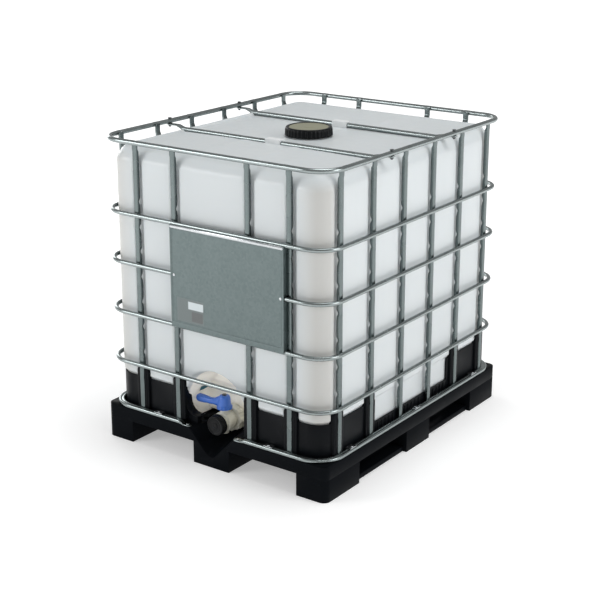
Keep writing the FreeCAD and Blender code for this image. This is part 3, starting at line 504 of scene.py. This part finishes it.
def rounded_profile(corners, radius=0.001, steps=3):
    """Rounds the corners of an open (along, radius) line so that its edges catch the light."""
    points = [Vector(corners[0])]
    for before, corner, after in zip(corners, corners[1:], corners[2:]):
        corner, before, after = Vector(corner), Vector(before), Vector(after)
        first, second = before - corner, after - corner
        if first.length < 1e-9 or second.length < 1e-9:
            continue
        trim = min(radius, first.length * 0.45, second.length * 0.45)
        a, b = corner + first.normalized() * trim, corner + second.normalized() * trim
        for i in range(steps + 1):
            t = i / steps
            points.append(a * (1 - t) ** 2 + corner * 2 * t * (1 - t) + b * t * t)
    points.append(Vector(corners[-1]))
    return [tuple(p) for p in points]


# --------------------------------------------------------------------------------------------------
# Cage tubes
# --------------------------------------------------------------------------------------------------
def tube_hoop(node, name):
    """A hoop or the rim: round tube, pressed a little flat on its inner side at each upright."""
    low, high = low_of(node), high_of(node)
    radius = (high.z - low.z) / 2
    loop = Loop(high.x - radius, high.y - radius, HOOP_CORNER)
    stops = [loop.nearest(post.middle.x, post.middle.y) for post in POSTS]
    stations = loop.stations(14 * MM, stops, 20 * MM, 3 * MM)
    base = circle_section(radius)

    def section_at(distance):
        near = min(loop.apart(distance, stop) for stop in stops)
        press = WELD_FLAT * (1 - smoothstep(6 * MM, 15 * MM, near))
        swell = press * 0.3
        return [
            (outward + press * max(0, -outward) / radius, up * (1 + swell / radius))
            for outward, up in base
        ]

    builder = Builder()
    loop_tube(builder, loop, (low.z + high.z) / 2, stations, section_at)
    item = builder.build(name, ROUND_TUBE, "container")
    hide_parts(node)


def upright_section(post, z):
    """The upright's outline at a height as (across, inwards) points: dented near every weld."""
    corner = 3.6 * MM
    crimp = smoothstep(post.top - 42 * MM, post.top - 26 * MM, z)
    pinch = 0.0
    for level in HOOP_LEVELS:
        for side in (-1, 1):
            pinch = max(pinch, 1 - smoothstep(0, 15 * MM, abs(z - level - side * DENT_FROM_WELD)))
    depth = mix(post.depth, post.depth * 0.5, crimp)
    width = post.width + crimp * 2.5 * MM
    points = []
    for across, up in rounded_section(width, depth, min(corner, depth * 0.3)):
        inner = clamp((up + depth / 2) / depth)
        inwards = depth / 2 + up
        inwards -= pinch * inner * 5.0 * MM
        across *= 1 - pinch * inner * 0.22
        points.append((across, inwards))
    return points


def upright(post):
    levels = []
    z = post.bottom
    while z < post.top:
        levels.append(z)
        near = min(abs(abs(z - level) - DENT_FROM_WELD) for level in HOOP_LEVELS)
        z += 2.5 * MM if near < 18 * MM or z > post.top - 48 * MM else 16 * MM
    levels.append(post.top)
    rows = []
    for z in levels:
        row = []
        for across, inwards in upright_section(post, z):
            point = post.outer_face + post.across * across - post.out * inwards
            row.append((point.x, point.y, z))
        rows.append(row)
    builder = Builder()
    builder.grid(rows, cap_start=True, cap_end=True)
    item = builder.build(f"tube_{post.node}", TUBE, "container")
    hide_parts(post.node)


def base_rail():
    """A flattened tube round the deck. Its two ends are pressed flat and screwed down."""
    low, high = low_of("base_rail"), high_of("base_rail")
    high_side = high.z - low.z
    loop = Loop(high.x - RAIL_WIDTH / 2, high.y - RAIL_WIDTH / 2, HOOP_CORNER)
    front = loop.nearest(0, low.y)
    stations = []
    distance = front + RAIL_END
    while distance < front + loop.length - RAIL_END:
        stations.append(distance)
        from_end = min(distance - front - RAIL_END, front + loop.length - RAIL_END - distance)
        distance += 3 * MM if from_end < 60 * MM else 12 * MM
    stations.append(front + loop.length - RAIL_END)

    def section_at(distance):
        from_end = min(distance - front, front + loop.length - distance) - RAIL_END
        flat = 1 - smoothstep(26 * MM, 52 * MM, from_end)
        round_off = 1 - smoothstep(0, 9 * MM, from_end)
        height = mix(high_side, 3.4 * MM, flat)
        across = RAIL_WIDTH * mix(1, 0.55, round_off**2)
        points = rounded_section(across, height, height * 0.40, 5)
        furrow = 2.2 * MM * (1 - flat)
        dip = ((0.16, 0), (0, furrow), (-0.16, 0))
        points[6:6] = [(across * share, height / 2 - drop) for share, drop in dip]
        return [(outward, up + height / 2) for outward, up in points]

    builder = Builder()
    loop_tube(builder, loop, low.z, stations, section_at, closed=False)
    item = builder.build("rail_tube", ROUND_TUBE, "container")
    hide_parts("base_rail")


def top_bar(node):
    """A tube over the bottle, drawn flat at both ends and turned up to the rim."""
    low, high = low_of(node), high_of(node)
    y = (low.y + high.y) / 2
    radius = 9 * MM
    level = low.z + radius
    tab_level = high.z - 2.5 * MM
    half = high.x
    stations = [-half + 2 * half * i / 180 for i in range(181)]
    rows = []
    for x in stations:
        rise = smoothstep(half - 85 * MM, half - 45 * MM, abs(x))
        flat = smoothstep(half - 80 * MM, half - 42 * MM, abs(x))
        tip = smoothstep(half - 12 * MM, half, abs(x))
        wide = mix(radius, 14 * MM, flat) * mix(1, 0.7, tip)
        tall = mix(radius, 2.5 * MM, flat)
        centre = mix(level, tab_level, rise)
        row = []
        for i in range(20):
            angle = 2 * math.pi * i / 20
            c, s = math.cos(angle), math.sin(angle)
            power = mix(1.0, 0.55, flat)
            across = wide * math.copysign(abs(c) ** power, c)
            up = tall * math.copysign(abs(s) ** power, s)
            row.append((x, y + across, centre + up))
        rows.append(row)
    builder = Builder()
    builder.grid(rows, cap_start=True, cap_end=True)
    item = builder.build(f"tube_{node}", ROUND_TUBE, "container")
    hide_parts(node)


for hoop in HOOPS:
    tube_hoop(hoop, f"tube_{hoop}")
tube_hoop("top_rim", "tube_rim")
for post in POSTS:
    upright(post)
base_rail()
top_bar("top_bar_front")
top_bar("top_bar_rear")


# --------------------------------------------------------------------------------------------------
# Bottle
# --------------------------------------------------------------------------------------------------
BOTTLE_HIGH = high_of("bottle")
BOTTLE_HALF_X, BOTTLE_HALF_Y = BOTTLE_HIGH.x, BOTTLE_HIGH.y
BOTTLE_TOP = 1114 * MM
PANEL_TOP = 1092 * MM
PANEL_LOW = 60 * MM
PANEL_CORNER = 32 * MM
STRIP_TOP = low_of("bar_clips").z
STRIP_HALF = 226 * MM
NECK_RADIUS = 78 * MM
SHOULDER = 46 * MM
HEEL = 34 * MM
SKIN = Loop(BOTTLE_HALF_X, BOTTLE_HALF_Y, 70 * MM)
GROOVES = sorted(SKIN.nearest(post.middle.x, post.middle.y) for post in POSTS)
GUARD_TOP = high_of("guard_front_left").z - 31 * MM
BOTTLE_FLOOR = 136 * MM
NICHE_LEVEL = 217 * MM
NICHE_RADIUS = 138 * MM
NICHE_BACK_RADIUS = 112 * MM
NICHE_BACK_HALF = 128 * MM
NICHE_DEPTH = 111 * MM
TAB_TOP = high_of("guard_front_left").z + 12 * MM
TAB_HALF = 27 * MM
FLANGE_BACK = low_of("outlet_seal").y


def panel_mask(distance, z):
    """1 on a panel between two uprights and 0 in the grooves and above the panels' arched tops."""
    after = next((g for g in GROOVES if g > distance), GROOVES[0] + SKIN.length)
    before = next((g for g in reversed(GROOVES) if g <= distance), GROOVES[-1] - SKIN.length)
    half = (after - before) / 2 - 7 * MM
    along = abs(distance - (after + before) / 2)
    tall = (PANEL_TOP - PANEL_LOW) / 2
    up = abs(z - (PANEL_TOP + PANEL_LOW) / 2)
    corner = min(PANEL_CORNER, half * 0.5)
    dx, dz = along - (half - corner), up - (tall - corner)
    outside = math.hypot(max(dx, 0), max(dz, 0)) + min(max(dx, dz), 0) - corner
    swell = math.cos(clamp(along / half) * math.pi / 2)
    return smoothstep(0, -18 * MM, outside), swell


def niche_depth(x, z):
    """How far the arched valve niche stands back from the front face."""
    reach = math.hypot(x, max(0, z - NICHE_LEVEL))
    rise = smoothstep(NICHE_LEVEL + 5 * MM, NICHE_LEVEL + 70 * MM, z)
    flat_edge = mix(NICHE_BACK_HALF, NICHE_BACK_RADIUS, rise)
    ramp = clamp((NICHE_RADIUS - reach) / (NICHE_RADIUS - flat_edge))
    return NICHE_DEPTH * mix(ramp, smoothstep(0, 1, ramp), 0.5)


def top_level(x, y):
    """Height of the bottle's top: a lower strip across the middle, with channels for the bars."""
    outer = 1 - smoothstep(STRIP_HALF - 9 * MM, STRIP_HALF + 9 * MM, abs(y))
    level = mix(BOTTLE_TOP, STRIP_TOP, outer)
    crease = 1 - smoothstep(0, 26 * MM, abs(abs(x) - 110 * MM))
    level += 1.6 * MM * crease * (1 - outer)
    fall = smoothstep(0.35 * BOTTLE_HALF_X, BOTTLE_HALF_X, abs(x))
    level -= 3.0 * MM * fall * (1 - outer)
    return level


def bottle_skin():
    stations = SKIN.stations(11 * MM, GROOVES, 42 * MM, 3.6 * MM)
    builder = Builder()
    rows = []
    low, heel = BOTTLE_FLOOR, HEEL
    levels = [low + heel * (1 - math.cos(math.pi / 2 * i / 6)) for i in range(6)]
    z = low + heel
    while z < BOTTLE_TOP - SHOULDER:
        levels.append(z)
        z += 4 * MM if z < NICHE_LEVEL + NICHE_RADIUS + 15 * MM else 9 * MM
    for z in levels:
        inset = 0
        if z < low + heel:
            inset = heel - math.sqrt(max(0, heel**2 - (low + heel - z) ** 2))
        rows.append([skin_point(distance, z, inset) for distance in stations])
    for i in range(9):
        angle = math.pi / 2 * i / 8
        z = BOTTLE_TOP - SHOULDER + SHOULDER * math.sin(angle)
        inset = SHOULDER * (1 - math.cos(angle))
        rows.append([skin_point(distance, z, inset) for distance in stations])
    rim = rows[-1]
    rings = 58
    for i in range(1, rings + 1):
        t = i / rings
        row = []
        for x, y, z in rim:
            length = math.hypot(x, y)
            end = Vector((x, y)) * (NECK_RADIUS / length)
            px, py = mix(x, end.x, t), mix(y, end.y, t)
            row.append((px, py, top_level(px, py)))
        rows.append(row)
    for corner_z in (STRIP_TOP + 2 * MM, 1120 * MM, BOTTLE_HIGH.z - 1 * MM, BOTTLE_HIGH.z):
        radius = NECK_RADIUS - (1 * MM if corner_z == BOTTLE_HIGH.z else 0)
        rows.append([ring_point(p, radius, corner_z) for p in rim])
    for corner_z in (BOTTLE_HIGH.z, STRIP_TOP - 8 * MM, STRIP_TOP - 40 * MM):
        rows.append([ring_point(p, NECK_RADIUS - 4 * MM, corner_z) for p in rim])
    builder.grid(rows, cap_start=True)
    item = builder.build("bottle_skin", BOTTLE, "container", sharp=75)
    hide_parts("bottle")


def bottle_spout():
    """The outlet's stub, from inside the niche to the valve's flange."""
    face = FLANGE_BACK + 2 * MM
    back = face + 70 * MM
    bore, outer, far = 25 * MM, 38 * MM, face - back
    outline = [(0, bore), (0, outer), (far, outer), (far, bore), (0, bore)]
    builder = Builder()
    lathe(builder, rounded_profile(outline, 1.5 * MM), Vector((0, back, VALVE_LEVEL)), (0, 1, 0))
    builder.build("bottle_spout", SPOUT, "container")


def ring_point(point, radius, z):
    length = math.hypot(point[0], point[1])
    return (point[0] * radius / length, point[1] * radius / length, z)


def skin_point(distance, z, inset):
    """A point of the bottle's side wall, drawn in by inset at the heel and the shoulder."""
    point, out = SKIN.at(distance)
    mask, swell = panel_mask(distance, z)
    offset = mix(-7 * MM, 3 * MM + 3.5 * MM * swell, mask)
    offset = mix(-6.5 * MM, offset, smoothstep(GUARD_TOP + 1 * MM, GUARD_TOP + 15 * MM, z))
    groove = min(SKIN.apart(distance, stop) for stop in GROOVES)
    tab = 1 - smoothstep(TAB_HALF, TAB_HALF + 5 * MM, groove)
    tab *= 1 - smoothstep(TAB_TOP, TAB_TOP + 11 * MM, z)
    offset = mix(offset, -7 * MM, tab)
    above = smoothstep(1050 * MM, BOTTLE_TOP, z)
    offset = mix(offset, -4 * MM, above)
    x, y = point.x + out.x * (offset - inset), point.y + out.y * (offset - inset)
    if y < -BOTTLE_HALF_Y + 60 * MM and z < NICHE_LEVEL + NICHE_RADIUS:
        y += niche_depth(x, z)
    return (x, y, z)


bottle_skin()
bottle_spout()


# --------------------------------------------------------------------------------------------------
# Fill cap
# --------------------------------------------------------------------------------------------------
def ribs(count, depth, low, high):
    """A ripple that cuts shallow finger grooves between two distances along an axis."""

    def ripple(angle, distance):
        if not low < distance < high:
            return 0
        return -depth * smoothstep(0.1, 0.8, 0.5 - 0.5 * math.cos(count * angle))

    return ripple


def fill_cap():
    low, high = low_of("fill_cap").z, high_of("fill_cap").z
    tall = high - low
    radius = high_of("fill_cap").x
    wall = 4 * MM
    outline = [
        (tall - wall, 0),
        (tall - wall, radius - wall),
        (0, radius - wall),
        (0, radius),
        (2.5 * MM, radius),
        (3 * MM, radius - 0.4 * MM),
        (tall - 9 * MM, radius - 1.2 * MM),
        (tall - 2 * MM, radius - 4 * MM),
        (tall, radius - 8 * MM),
        (tall, radius - 12 * MM),
        (tall - 3 * MM, radius - 15 * MM),
        (tall - 3 * MM, 0),
    ]
    origin = Vector((0, 0, low))
    builder = Builder()
    grip = ribs(36, 2.4 * MM, 2.6 * MM, tall - 5 * MM)
    lathe(builder, rounded_profile(outline, 1.2 * MM), origin, (0, 0, 1), 360, grip)
    item = builder.build("cap_shell", CAP_BLACK, "fill_cap")
    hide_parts("fill_cap")
    disc = Builder()
    face = tall - 3 * MM
    inner = radius - 16 * MM
    shape = [
        (face - 0.5 * MM, inner),
        (face + 1.2 * MM, inner),
        (face + 1.2 * MM, inner - 5 * MM),
        (face + 0.4 * MM, inner - 7 * MM),
        (face + 0.4 * MM, 20 * MM),
        (face + 1.4 * MM, 18 * MM),
        (face + 1.4 * MM, 0),
    ]
    lathe(disc, rounded_profile(shape, 0.6 * MM), origin, (0, 0, 1), 120)
    disc.build("cap_disc", CAP_DISC, "fill_cap")


# --------------------------------------------------------------------------------------------------
# Outlet valve
# --------------------------------------------------------------------------------------------------
FRONT = Vector((0, -1, 0))


def valve_profile(points):
    """Turns (y, radius) points into distances in front of the valve's axis origin."""
    return [(-y, radius) for y, radius in points]


def valve_body():
    end = low_of("valve_body").y
    origin = Vector((0, 0, VALVE_LEVEL))
    outer, bore, flange, barrel = (value * MM for value in (32, 25, 43, 38))
    stem_y = STEM.y
    points = [
        (FLANGE_BACK, bore),
        (FLANGE_BACK, flange),
        (FLANGE_BACK - 8 * MM, flange),
        (FLANGE_BACK - 8 * MM, outer),
        (stem_y + 19 * MM, outer),
        (stem_y + 15 * MM, barrel),
        (stem_y - 15 * MM, barrel),
        (stem_y - 19 * MM, outer),
    ]
    thread = end + 16 * MM
    while thread > end + 3 * MM:
        points += [(thread, outer), (thread - 1 * MM, outer + 0.9 * MM), (thread - 2 * MM, outer)]
        thread -= 4 * MM
    points += [(end, outer - 1 * MM), (end, bore), (FLANGE_BACK, bore)]
    builder = Builder()
    lathe(builder, rounded_profile(valve_profile(points), 1.2 * MM), origin, FRONT, 96)
    top = high_of("valve_body").z
    boss = [
        (24 * MM, 0),
        (24 * MM, 19 * MM),
        (34 * MM, 19 * MM),
        (40 * MM, 15.5 * MM),
        (top - VALVE_LEVEL, 15 * MM),
        (top - VALVE_LEVEL, 10 * MM),
        (top - VALVE_LEVEL - 4 * MM, 10 * MM),
        (top - VALVE_LEVEL - 4 * MM, 0),
    ]
    lathe(builder, rounded_profile(boss), Vector((0, stem_y, VALVE_LEVEL)), (0, 0, 1), 64)
    low = low_of("valve_body").z
    foot = [(24 * MM, 0), (24 * MM, 17 * MM), (VALVE_LEVEL - low, 15 * MM), (VALVE_LEVEL - low, 0)]
    lathe(builder, rounded_profile(foot), Vector((0, stem_y, VALVE_LEVEL)), (0, 0, -1), 64)
    item = builder.build("valve_casting", NATURAL, "container")
    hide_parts("valve_body")


def outlet_nut():
    low, high = low_of("outlet_nut"), high_of("outlet_nut")
    radius = high.z - VALVE_LEVEL
    long = high.y - low.y
    outline = [
        (0, 38.2 * MM),
        (0, radius - 2 * MM),
        (2 * MM, radius),
        (long - 2 * MM, radius),
        (long, radius - 3 * MM),
        (long, 32.2 * MM),
        (long - 6 * MM, 32.2 * MM),
        (long - 6 * MM, 38.2 * MM),
        (0, 38.2 * MM),
    ]
    lugs = ribs(8, 5 * MM, 1 * MM, long + 1 * MM)
    origin = Vector((0, high.y, VALVE_LEVEL))
    builder = Builder()
    lathe(builder, rounded_profile(outline[:6], 1.2 * MM), origin, FRONT, 192, lugs)
    lathe(builder, outline[5:], origin, FRONT, 96)
    item = builder.build("ring_nut", NATURAL, "container")
    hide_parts("outlet_nut")


def outlet_cap():
    low, high = low_of("outlet_cap"), high_of("outlet_cap")
    radius = high.z - VALVE_LEVEL
    deep = high.y - low.y
    wall = 4 * MM
    outline = [
        (deep - wall, 0),
        (deep - wall, radius - wall),
        (0, radius - wall),
        (0, radius),
        (3 * MM, radius),
        (3.4 * MM, radius - 0.8 * MM),
        (deep - 3 * MM, radius - 1.4 * MM),
        (deep, radius - 4.5 * MM),
        (deep, radius - 9 * MM),
        (deep - 2 * MM, radius - 11 * MM),
        (deep - 2 * MM, 12 * MM),
        (deep, 10 * MM),
        (deep, 0),
    ]
    builder = Builder()
    grip = ribs(30, 1.6 * MM, 3.2 * MM, deep - 1 * MM)
    origin = Vector((0, high.y, VALVE_LEVEL))
    lathe(builder, rounded_profile(outline, 1 * MM), origin, FRONT, 240, grip)
    item = builder.build("outlet_cap_shell", CAP_BLACK, "outlet_cap")
    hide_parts("outlet_cap")


def valve_handle():
    """A ribbed hub and a lever that narrows after the hub and swells towards its rounded tip."""
    low, high = low_of("valve_handle"), high_of("valve_handle")
    axis = Vector((0, STEM.y, 0))
    hub_radius = high.x
    hub = [
        (low.z, 8 * MM),
        (low.z, hub_radius + 3 * MM),
        (low.z + 9 * MM, hub_radius + 4 * MM),
        (low.z + 13 * MM, hub_radius - 1 * MM),
        (high.z - 8 * MM, hub_radius - 4 * MM),
        (high.z - 2 * MM, hub_radius - 7 * MM),
        (high.z, hub_radius - 12 * MM),
        (high.z, 0),
    ]
    builder = Builder()
    flutes = ribs(14, 1.2 * MM, low.z + 1 * MM, low.z + 11 * MM)
    lathe(builder, rounded_profile(hub, 2 * MM, 5), axis, (0, 0, 1), 168, flutes)
    reach = -low.x
    rows = []
    for i in range(73):
        t = i / 72
        x = -reach * t
        waist = smoothstep(0.22, 0.42, t) * (1 - smoothstep(0.52, 0.82, t))
        tip = math.sqrt(max(0.0, 1 - max(0.0, (t - 0.88) / 0.12) ** 2))
        wide = mix(mix(36, 28, smoothstep(0, 0.34, t)), 24, waist) * MM * max(tip, 0.02)
        tall = mix(mix(38, 29, smoothstep(0.10, 0.42, t)), 23, waist) * MM * max(tip, 0.02)
        level = mix(high.z - 25 * MM, low.z + 14.5 * MM, smoothstep(0.05, 0.5, t))
        section = rounded_section(wide, tall, min(wide, tall) * 0.42, 5)
        rows.append([(x, axis.y + across, level + up) for across, up in section])
    builder.grid(rows, cap_start=True, cap_end=True)
    item = builder.build("handle_lever", BLUE, "valve_core", sharp=55)
    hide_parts("valve_handle")


fill_cap()
valve_body()
outlet_nut()
outlet_cap()
valve_handle()


# --------------------------------------------------------------------------------------------------
# Label plate's pressed face and the bead across its head
# --------------------------------------------------------------------------------------------------
HALF_TURN = [math.pi * i / 12 for i in range(13)]


def plate_face():
    """The plate's pressed front: a sunk panel inside a raised edge that is broadest at the foot."""
    low, high = low_of("label_plate"), high_of("label_plate")
    widths = {"left": 9 * MM, "right": 11 * MM, "foot": 20 * MM, "head": 13 * MM}
    front = low.y
    outline = (
        (0, -0.1, 0.6),
        (0, -0.1, -1.8),
        (0, 1.2, -3.0),
        (1, -4.0, -3.0),
        (1, -1.5, -1.4),
        (1, 0, -0.1),
    )
    rows = []
    for share, extra, level in outline:
        x0 = low.x + widths["left"] * share + extra * MM
        x1 = high.x - widths["right"] * share - extra * MM
        z0 = low.z + widths["foot"] * share + extra * MM
        z1 = high.z - widths["head"] * share - extra * MM
        y = front + level * MM
        rows.append([(x0, y, z0), (x1, y, z0), (x1, y, z1), (x0, y, z1)])
    builder = Builder()
    builder.grid(rows, cap_end=True)
    builder.build("plate_face", SHEET, "container", sharp=8)
    plate_bead(front - 3.0 * MM, high.z - 6.5 * MM, 6 * MM, 2.4 * MM)


def plate_bead(face, level, radius, proud):
    """A rolled bead across the plate, in the bright zinc as a painted highlight along the plate's
    head.
    """
    low, high = low_of("label_plate"), high_of("label_plate")
    rows = []
    for x, share in (
        (low.x + 2 * MM, 0.4),
        (low.x + 5 * MM, 1),
        (high.x - 5 * MM, 1),
        (high.x - 2 * MM, 0.4),
    ):
        row = []
        for angle in HALF_TURN:
            y = face + 0.3 * MM - proud * share * math.sin(angle)
            row.append((x, y, level + radius * share * math.cos(angle)))
        rows.append(row)
    builder = Builder()
    builder.grid(rows, closed_across=False)
    # Painted highlight: the bead takes the bright zinc so the plate's head reads as a lit edge.
    builder.build("plate_bead", BRIGHT, "container", sharp=80)


plate_face()


# --------------------------------------------------------------------------------------------------
# Guards' curved lips and pilasters, and a small film on the niche's wall
# --------------------------------------------------------------------------------------------------
LIP_PATH = (
    (142, 262),
    (141, 240),
    (140, 218),
    (138, 200),
    (132, 185),
    (122, 173),
    (108, 165),
    (92, 163),
    (78, 167),
    (68, 175),
)


def guard_lip(name, sign, reach):
    """Runs down the guard's end and curls towards the outlet as far as it is from the middle."""
    face = low_of("guard_front_left").y + 13 * MM
    path = [Vector((sign * x * MM, z * MM)) for x, z in LIP_PATH if x * MM >= reach]
    rows = []
    for i, point in enumerate(path):
        ahead = path[min(i + 1, len(path) - 1)] - path[max(i - 1, 0)]
        side = Vector((-ahead.y, ahead.x)).normalized()
        thick = mix(10, 4, smoothstep(0.3, 1, i / (len(path) - 1))) * MM
        section = rounded_section(thick, 34 * MM, thick * 0.45, 3)
        rows.append(
            [(point.x + side.x * a, face + 17 * MM + b, point.y + side.y * a) for a, b in section]
        )
    builder = Builder()
    builder.grid(rows, cap_start=True, cap_end=True)
    front, back, foot = face + 8 * MM, face + 30 * MM, DECK_TOP + 1 * MM
    web = []
    for x, z in path[2:8]:
        web.append([(x, front, z), (x, front, foot), (x, back, foot), (x, back, z)])
    builder.grid(web, cap_start=True, cap_end=True)
    builder.build(name, BLACK, "container", sharp=60)


def niche_wall(y, z):
    """Half the niche's width at a point of its wall."""
    low, high = 100 * MM, NICHE_RADIUS
    for _ in range(30):
        middle = (low + high) / 2
        if -BOTTLE_HALF_Y + 6.5 * MM + niche_depth(middle, z) > y:
            low = middle
        else:
            high = middle
    return low


def niche_film():
    """A teal film with a slanted end, stuck on the niche's left wall."""
    outline = ((-498, 230), (-476, 229), (-455, 233), (-468, 243), (-494, 246))
    vertices = []
    for y, z in outline:
        vertices.append((1.2 * MM - niche_wall(y * MM, z * MM), y * MM, z * MM))
    make_object("niche_film", vertices, [tuple(range(len(vertices)))], TEAL, "container")


def pilaster(post):
    """A round-headed rib of the guard behind an upright."""
    outline = [(-TAB_HALF, RAIL_TOP + 1 * MM)]
    for i in range(17):
        angle = math.pi * (1 - i / 16)
        across = TAB_HALF * math.copysign(abs(math.cos(angle)) ** 0.7, math.cos(angle))
        outline.append((across, TAB_TOP - 16 * MM + 16 * MM * math.sin(angle) ** 0.7))
    outline.append((TAB_HALF, RAIL_TOP + 1 * MM))
    foot = post.middle - post.out * post.middle.dot(post.out)
    wall = (BOTTLE_HALF_X if post.out.x else BOTTLE_HALF_Y) + 1 * MM
    rows = []
    for forward, draw_in in ((-14, 0), (7, 0), (9.5, 1), (10.5, 3.5)):
        row = []
        for across, z in outline:
            share = 1 - draw_in * MM / TAB_HALF
            point = foot + post.across * across * share + post.out * (wall + forward * MM)
            row.append((point.x, point.y, z - (draw_in * MM if z > GUARD_TOP else 0)))
        rows.append(row)
    builder = Builder()
    builder.grid(rows, cap_start=True, cap_end=True)
    builder.build(f"pilaster_{post.node}", BLACK, "container", sharp=50)


for post in POSTS:
    along = abs(post.middle.dot(post.across))
    if post.out.y or along > 250 * MM:
        pilaster(post)
guard_lip("guard_lip_left", -1, 68 * MM)
guard_lip("guard_lip_right", 1, 120 * MM)
niche_film()


# --------------------------------------------------------------------------------------------------
# Carried-over CAD pieces: finishes and softened edges
# --------------------------------------------------------------------------------------------------
def dress(node, material, bevel):
    item = NODES[node]
    item.data.materials.clear()
    item.data.materials.append(material)
    item.data.shade_smooth()
    item.data.set_sharp_from_angle(angle=math.radians(35))
    if bevel:
        weld = item.modifiers.new("weld", "WELD")
        weld.merge_threshold = 0.02 * MM
        flat = item.modifiers.new("flat", "DECIMATE")
        flat.decimate_type = "DISSOLVE"
        flat.angle_limit = math.radians(1.5)
        edge = item.modifiers.new("edge", "BEVEL")
        edge.width = bevel
        edge.segments = 2
        edge.limit_method = "ANGLE"
        edge.angle_limit = math.radians(35)
        edge.harden_normals = True


FINISHES = {
    "pallet_deck": (PALLET_BLACK, 2.0 * MM),
    "pallet_feet": (PALLET_BLACK, 2.5 * MM),
    "runner_left": (PALLET_BLACK, 1.5 * MM),
    "runner_centre": (PALLET_BLACK, 1.5 * MM),
    "runner_right": (PALLET_BLACK, 1.5 * MM),
    "guard_front_left": (BLACK, 1.6 * MM),
    "guard_front_right": (BLACK, 1.6 * MM),
    "guard_rear_left": (BLACK, 1.6 * MM),
    "guard_rear_right": (BLACK, 1.6 * MM),
    "sill_left": (BLACK, 0.8 * MM),
    "sill_right": (BLACK, 0.8 * MM),
    "rail_brackets": (BRIGHT, 0.5 * MM),
    "rail_screws": (BRIGHT, 0.6 * MM),
    "runner_screws": (BRIGHT, 0.3 * MM),
    "bar_bolts": (DARK_STEEL, 0.6 * MM),
    "bar_clips": (WHITE, 3.0 * MM),
    "label_plate": (SHEET, 0.3 * MM),
    "plate_rivets": (BRIGHT, 0.3 * MM),
    "plate_label": (FILM, 0.0),
    "outlet_seal": (SEAL, 0.0),
    "stem_seal": (SEAL, 0.0),
    "fill_cap_seal": (SEAL, 0.0),
    "outlet_cap_seal": (SEAL, 0.0),
    "valve_disc": (NATURAL, 0.5 * MM),
    "valve_stem": (BRIGHT, 0.3 * MM),
    "handle_screw": (DARK_STEEL, 0.6 * MM),
}
for node, (material, bevel) in FINISHES.items():
    dress(node, material, bevel)


# --------------------------------------------------------------------------------------------------
# Floor, light and camera
# --------------------------------------------------------------------------------------------------
def floor():
    mesh = bpy.data.meshes.new("floor")
    reach = 60
    corners = [(-reach, -reach, 0), (reach, -reach, 0), (reach, reach, 0), (-reach, reach, 0)]
    mesh.from_pydata(corners, [], [(0, 1, 2, 3)])
    item = bpy.data.objects.new("floor", mesh)
    bpy.context.scene.collection.objects.link(item)
    material, tree, shader = new_material("pale floor")
    clouds = texture(tree, "Noise", 1.5, Detail=2)
    pale = blend_colours(tree, clouds.outputs["Fac"], (0.86, 0.86, 0.86), (0.9, 0.9, 0.9))
    link(tree, pale, shader.inputs["Base Color"])
    shader.inputs["Roughness"].default_value = 0.9
    shader.inputs["Emission Color"].default_value = (1, 1, 1, 1)
    coords = tree.nodes.new("ShaderNodeTexCoord")
    away = tree.nodes.new("ShaderNodeVectorMath")
    away.operation = "LENGTH"
    link(tree, coords.outputs["Object"], away.inputs[0])
    glow = remap(tree, away.outputs["Value"], 0.34, 0.85, 0.9, 4.0)
    link(tree, glow, shader.inputs["Emission Strength"])
    mesh.materials.append(material)


def area_light(name, position, target, size, power):
    light = bpy.data.lights.new(name, "AREA")
    light.shape = "DISK"
    light.size = size
    light.energy = power
    item = bpy.data.objects.new(name, light)
    item.location = position
    item.rotation_euler = (Vector(target) - Vector(position)).to_track_quat("-Z", "Y").to_euler()
    bpy.context.scene.collection.objects.link(item)


def camera():
    """Looks at the valve's face and the right side from above head height, with a long lens."""
    data = bpy.data.cameras.new("camera")
    data.sensor_width = 36
    data.lens = 81.2
    data.shift_y = -0.083
    item = bpy.data.objects.new("camera", data)
    item.location = (2.839, -3.989, 2.094)
    yaw, down = math.radians(125.82), math.radians(16.27)
    level = math.cos(down)
    ahead = Vector((math.cos(yaw) * level, math.sin(yaw) * level, -math.sin(down)))
    item.rotation_euler = ahead.to_track_quat("-Z", "Y").to_euler()
    bpy.context.scene.collection.objects.link(item)
    bpy.context.scene.camera = item


def studio():
    """White all round for the camera, and a dimmer grey for what lights the object."""
    world = bpy.data.worlds.new("studio")
    world.use_nodes = True
    tree = world.node_tree
    background = tree.nodes["Background"]
    paths = tree.nodes.new("ShaderNodeLightPath")
    grey = remap(tree, paths.outputs["Is Camera Ray"], 0.40, 1.0)
    link(tree, grey, background.inputs["Strength"])
    background.inputs["Color"].default_value = (1, 1, 1, 1)
    bpy.context.scene.world = world


floor()
studio()
middle = (0, 0, 0.6)
area_light("left softbox", (-3.3, -4.3, 2.3), middle, 2.4, 76)
area_light("right softbox", (4.8, 0.6, 2.6), middle, 2.6, 76)
area_light("top softbox", (0.6, 0.2, 5.0), middle, 3.0, 80)
area_light("rear softbox", (-4.4, 1.6, 1.7), middle, 2.4, 45)
bpy.context.scene.view_settings.view_transform = "Standard"
camera()
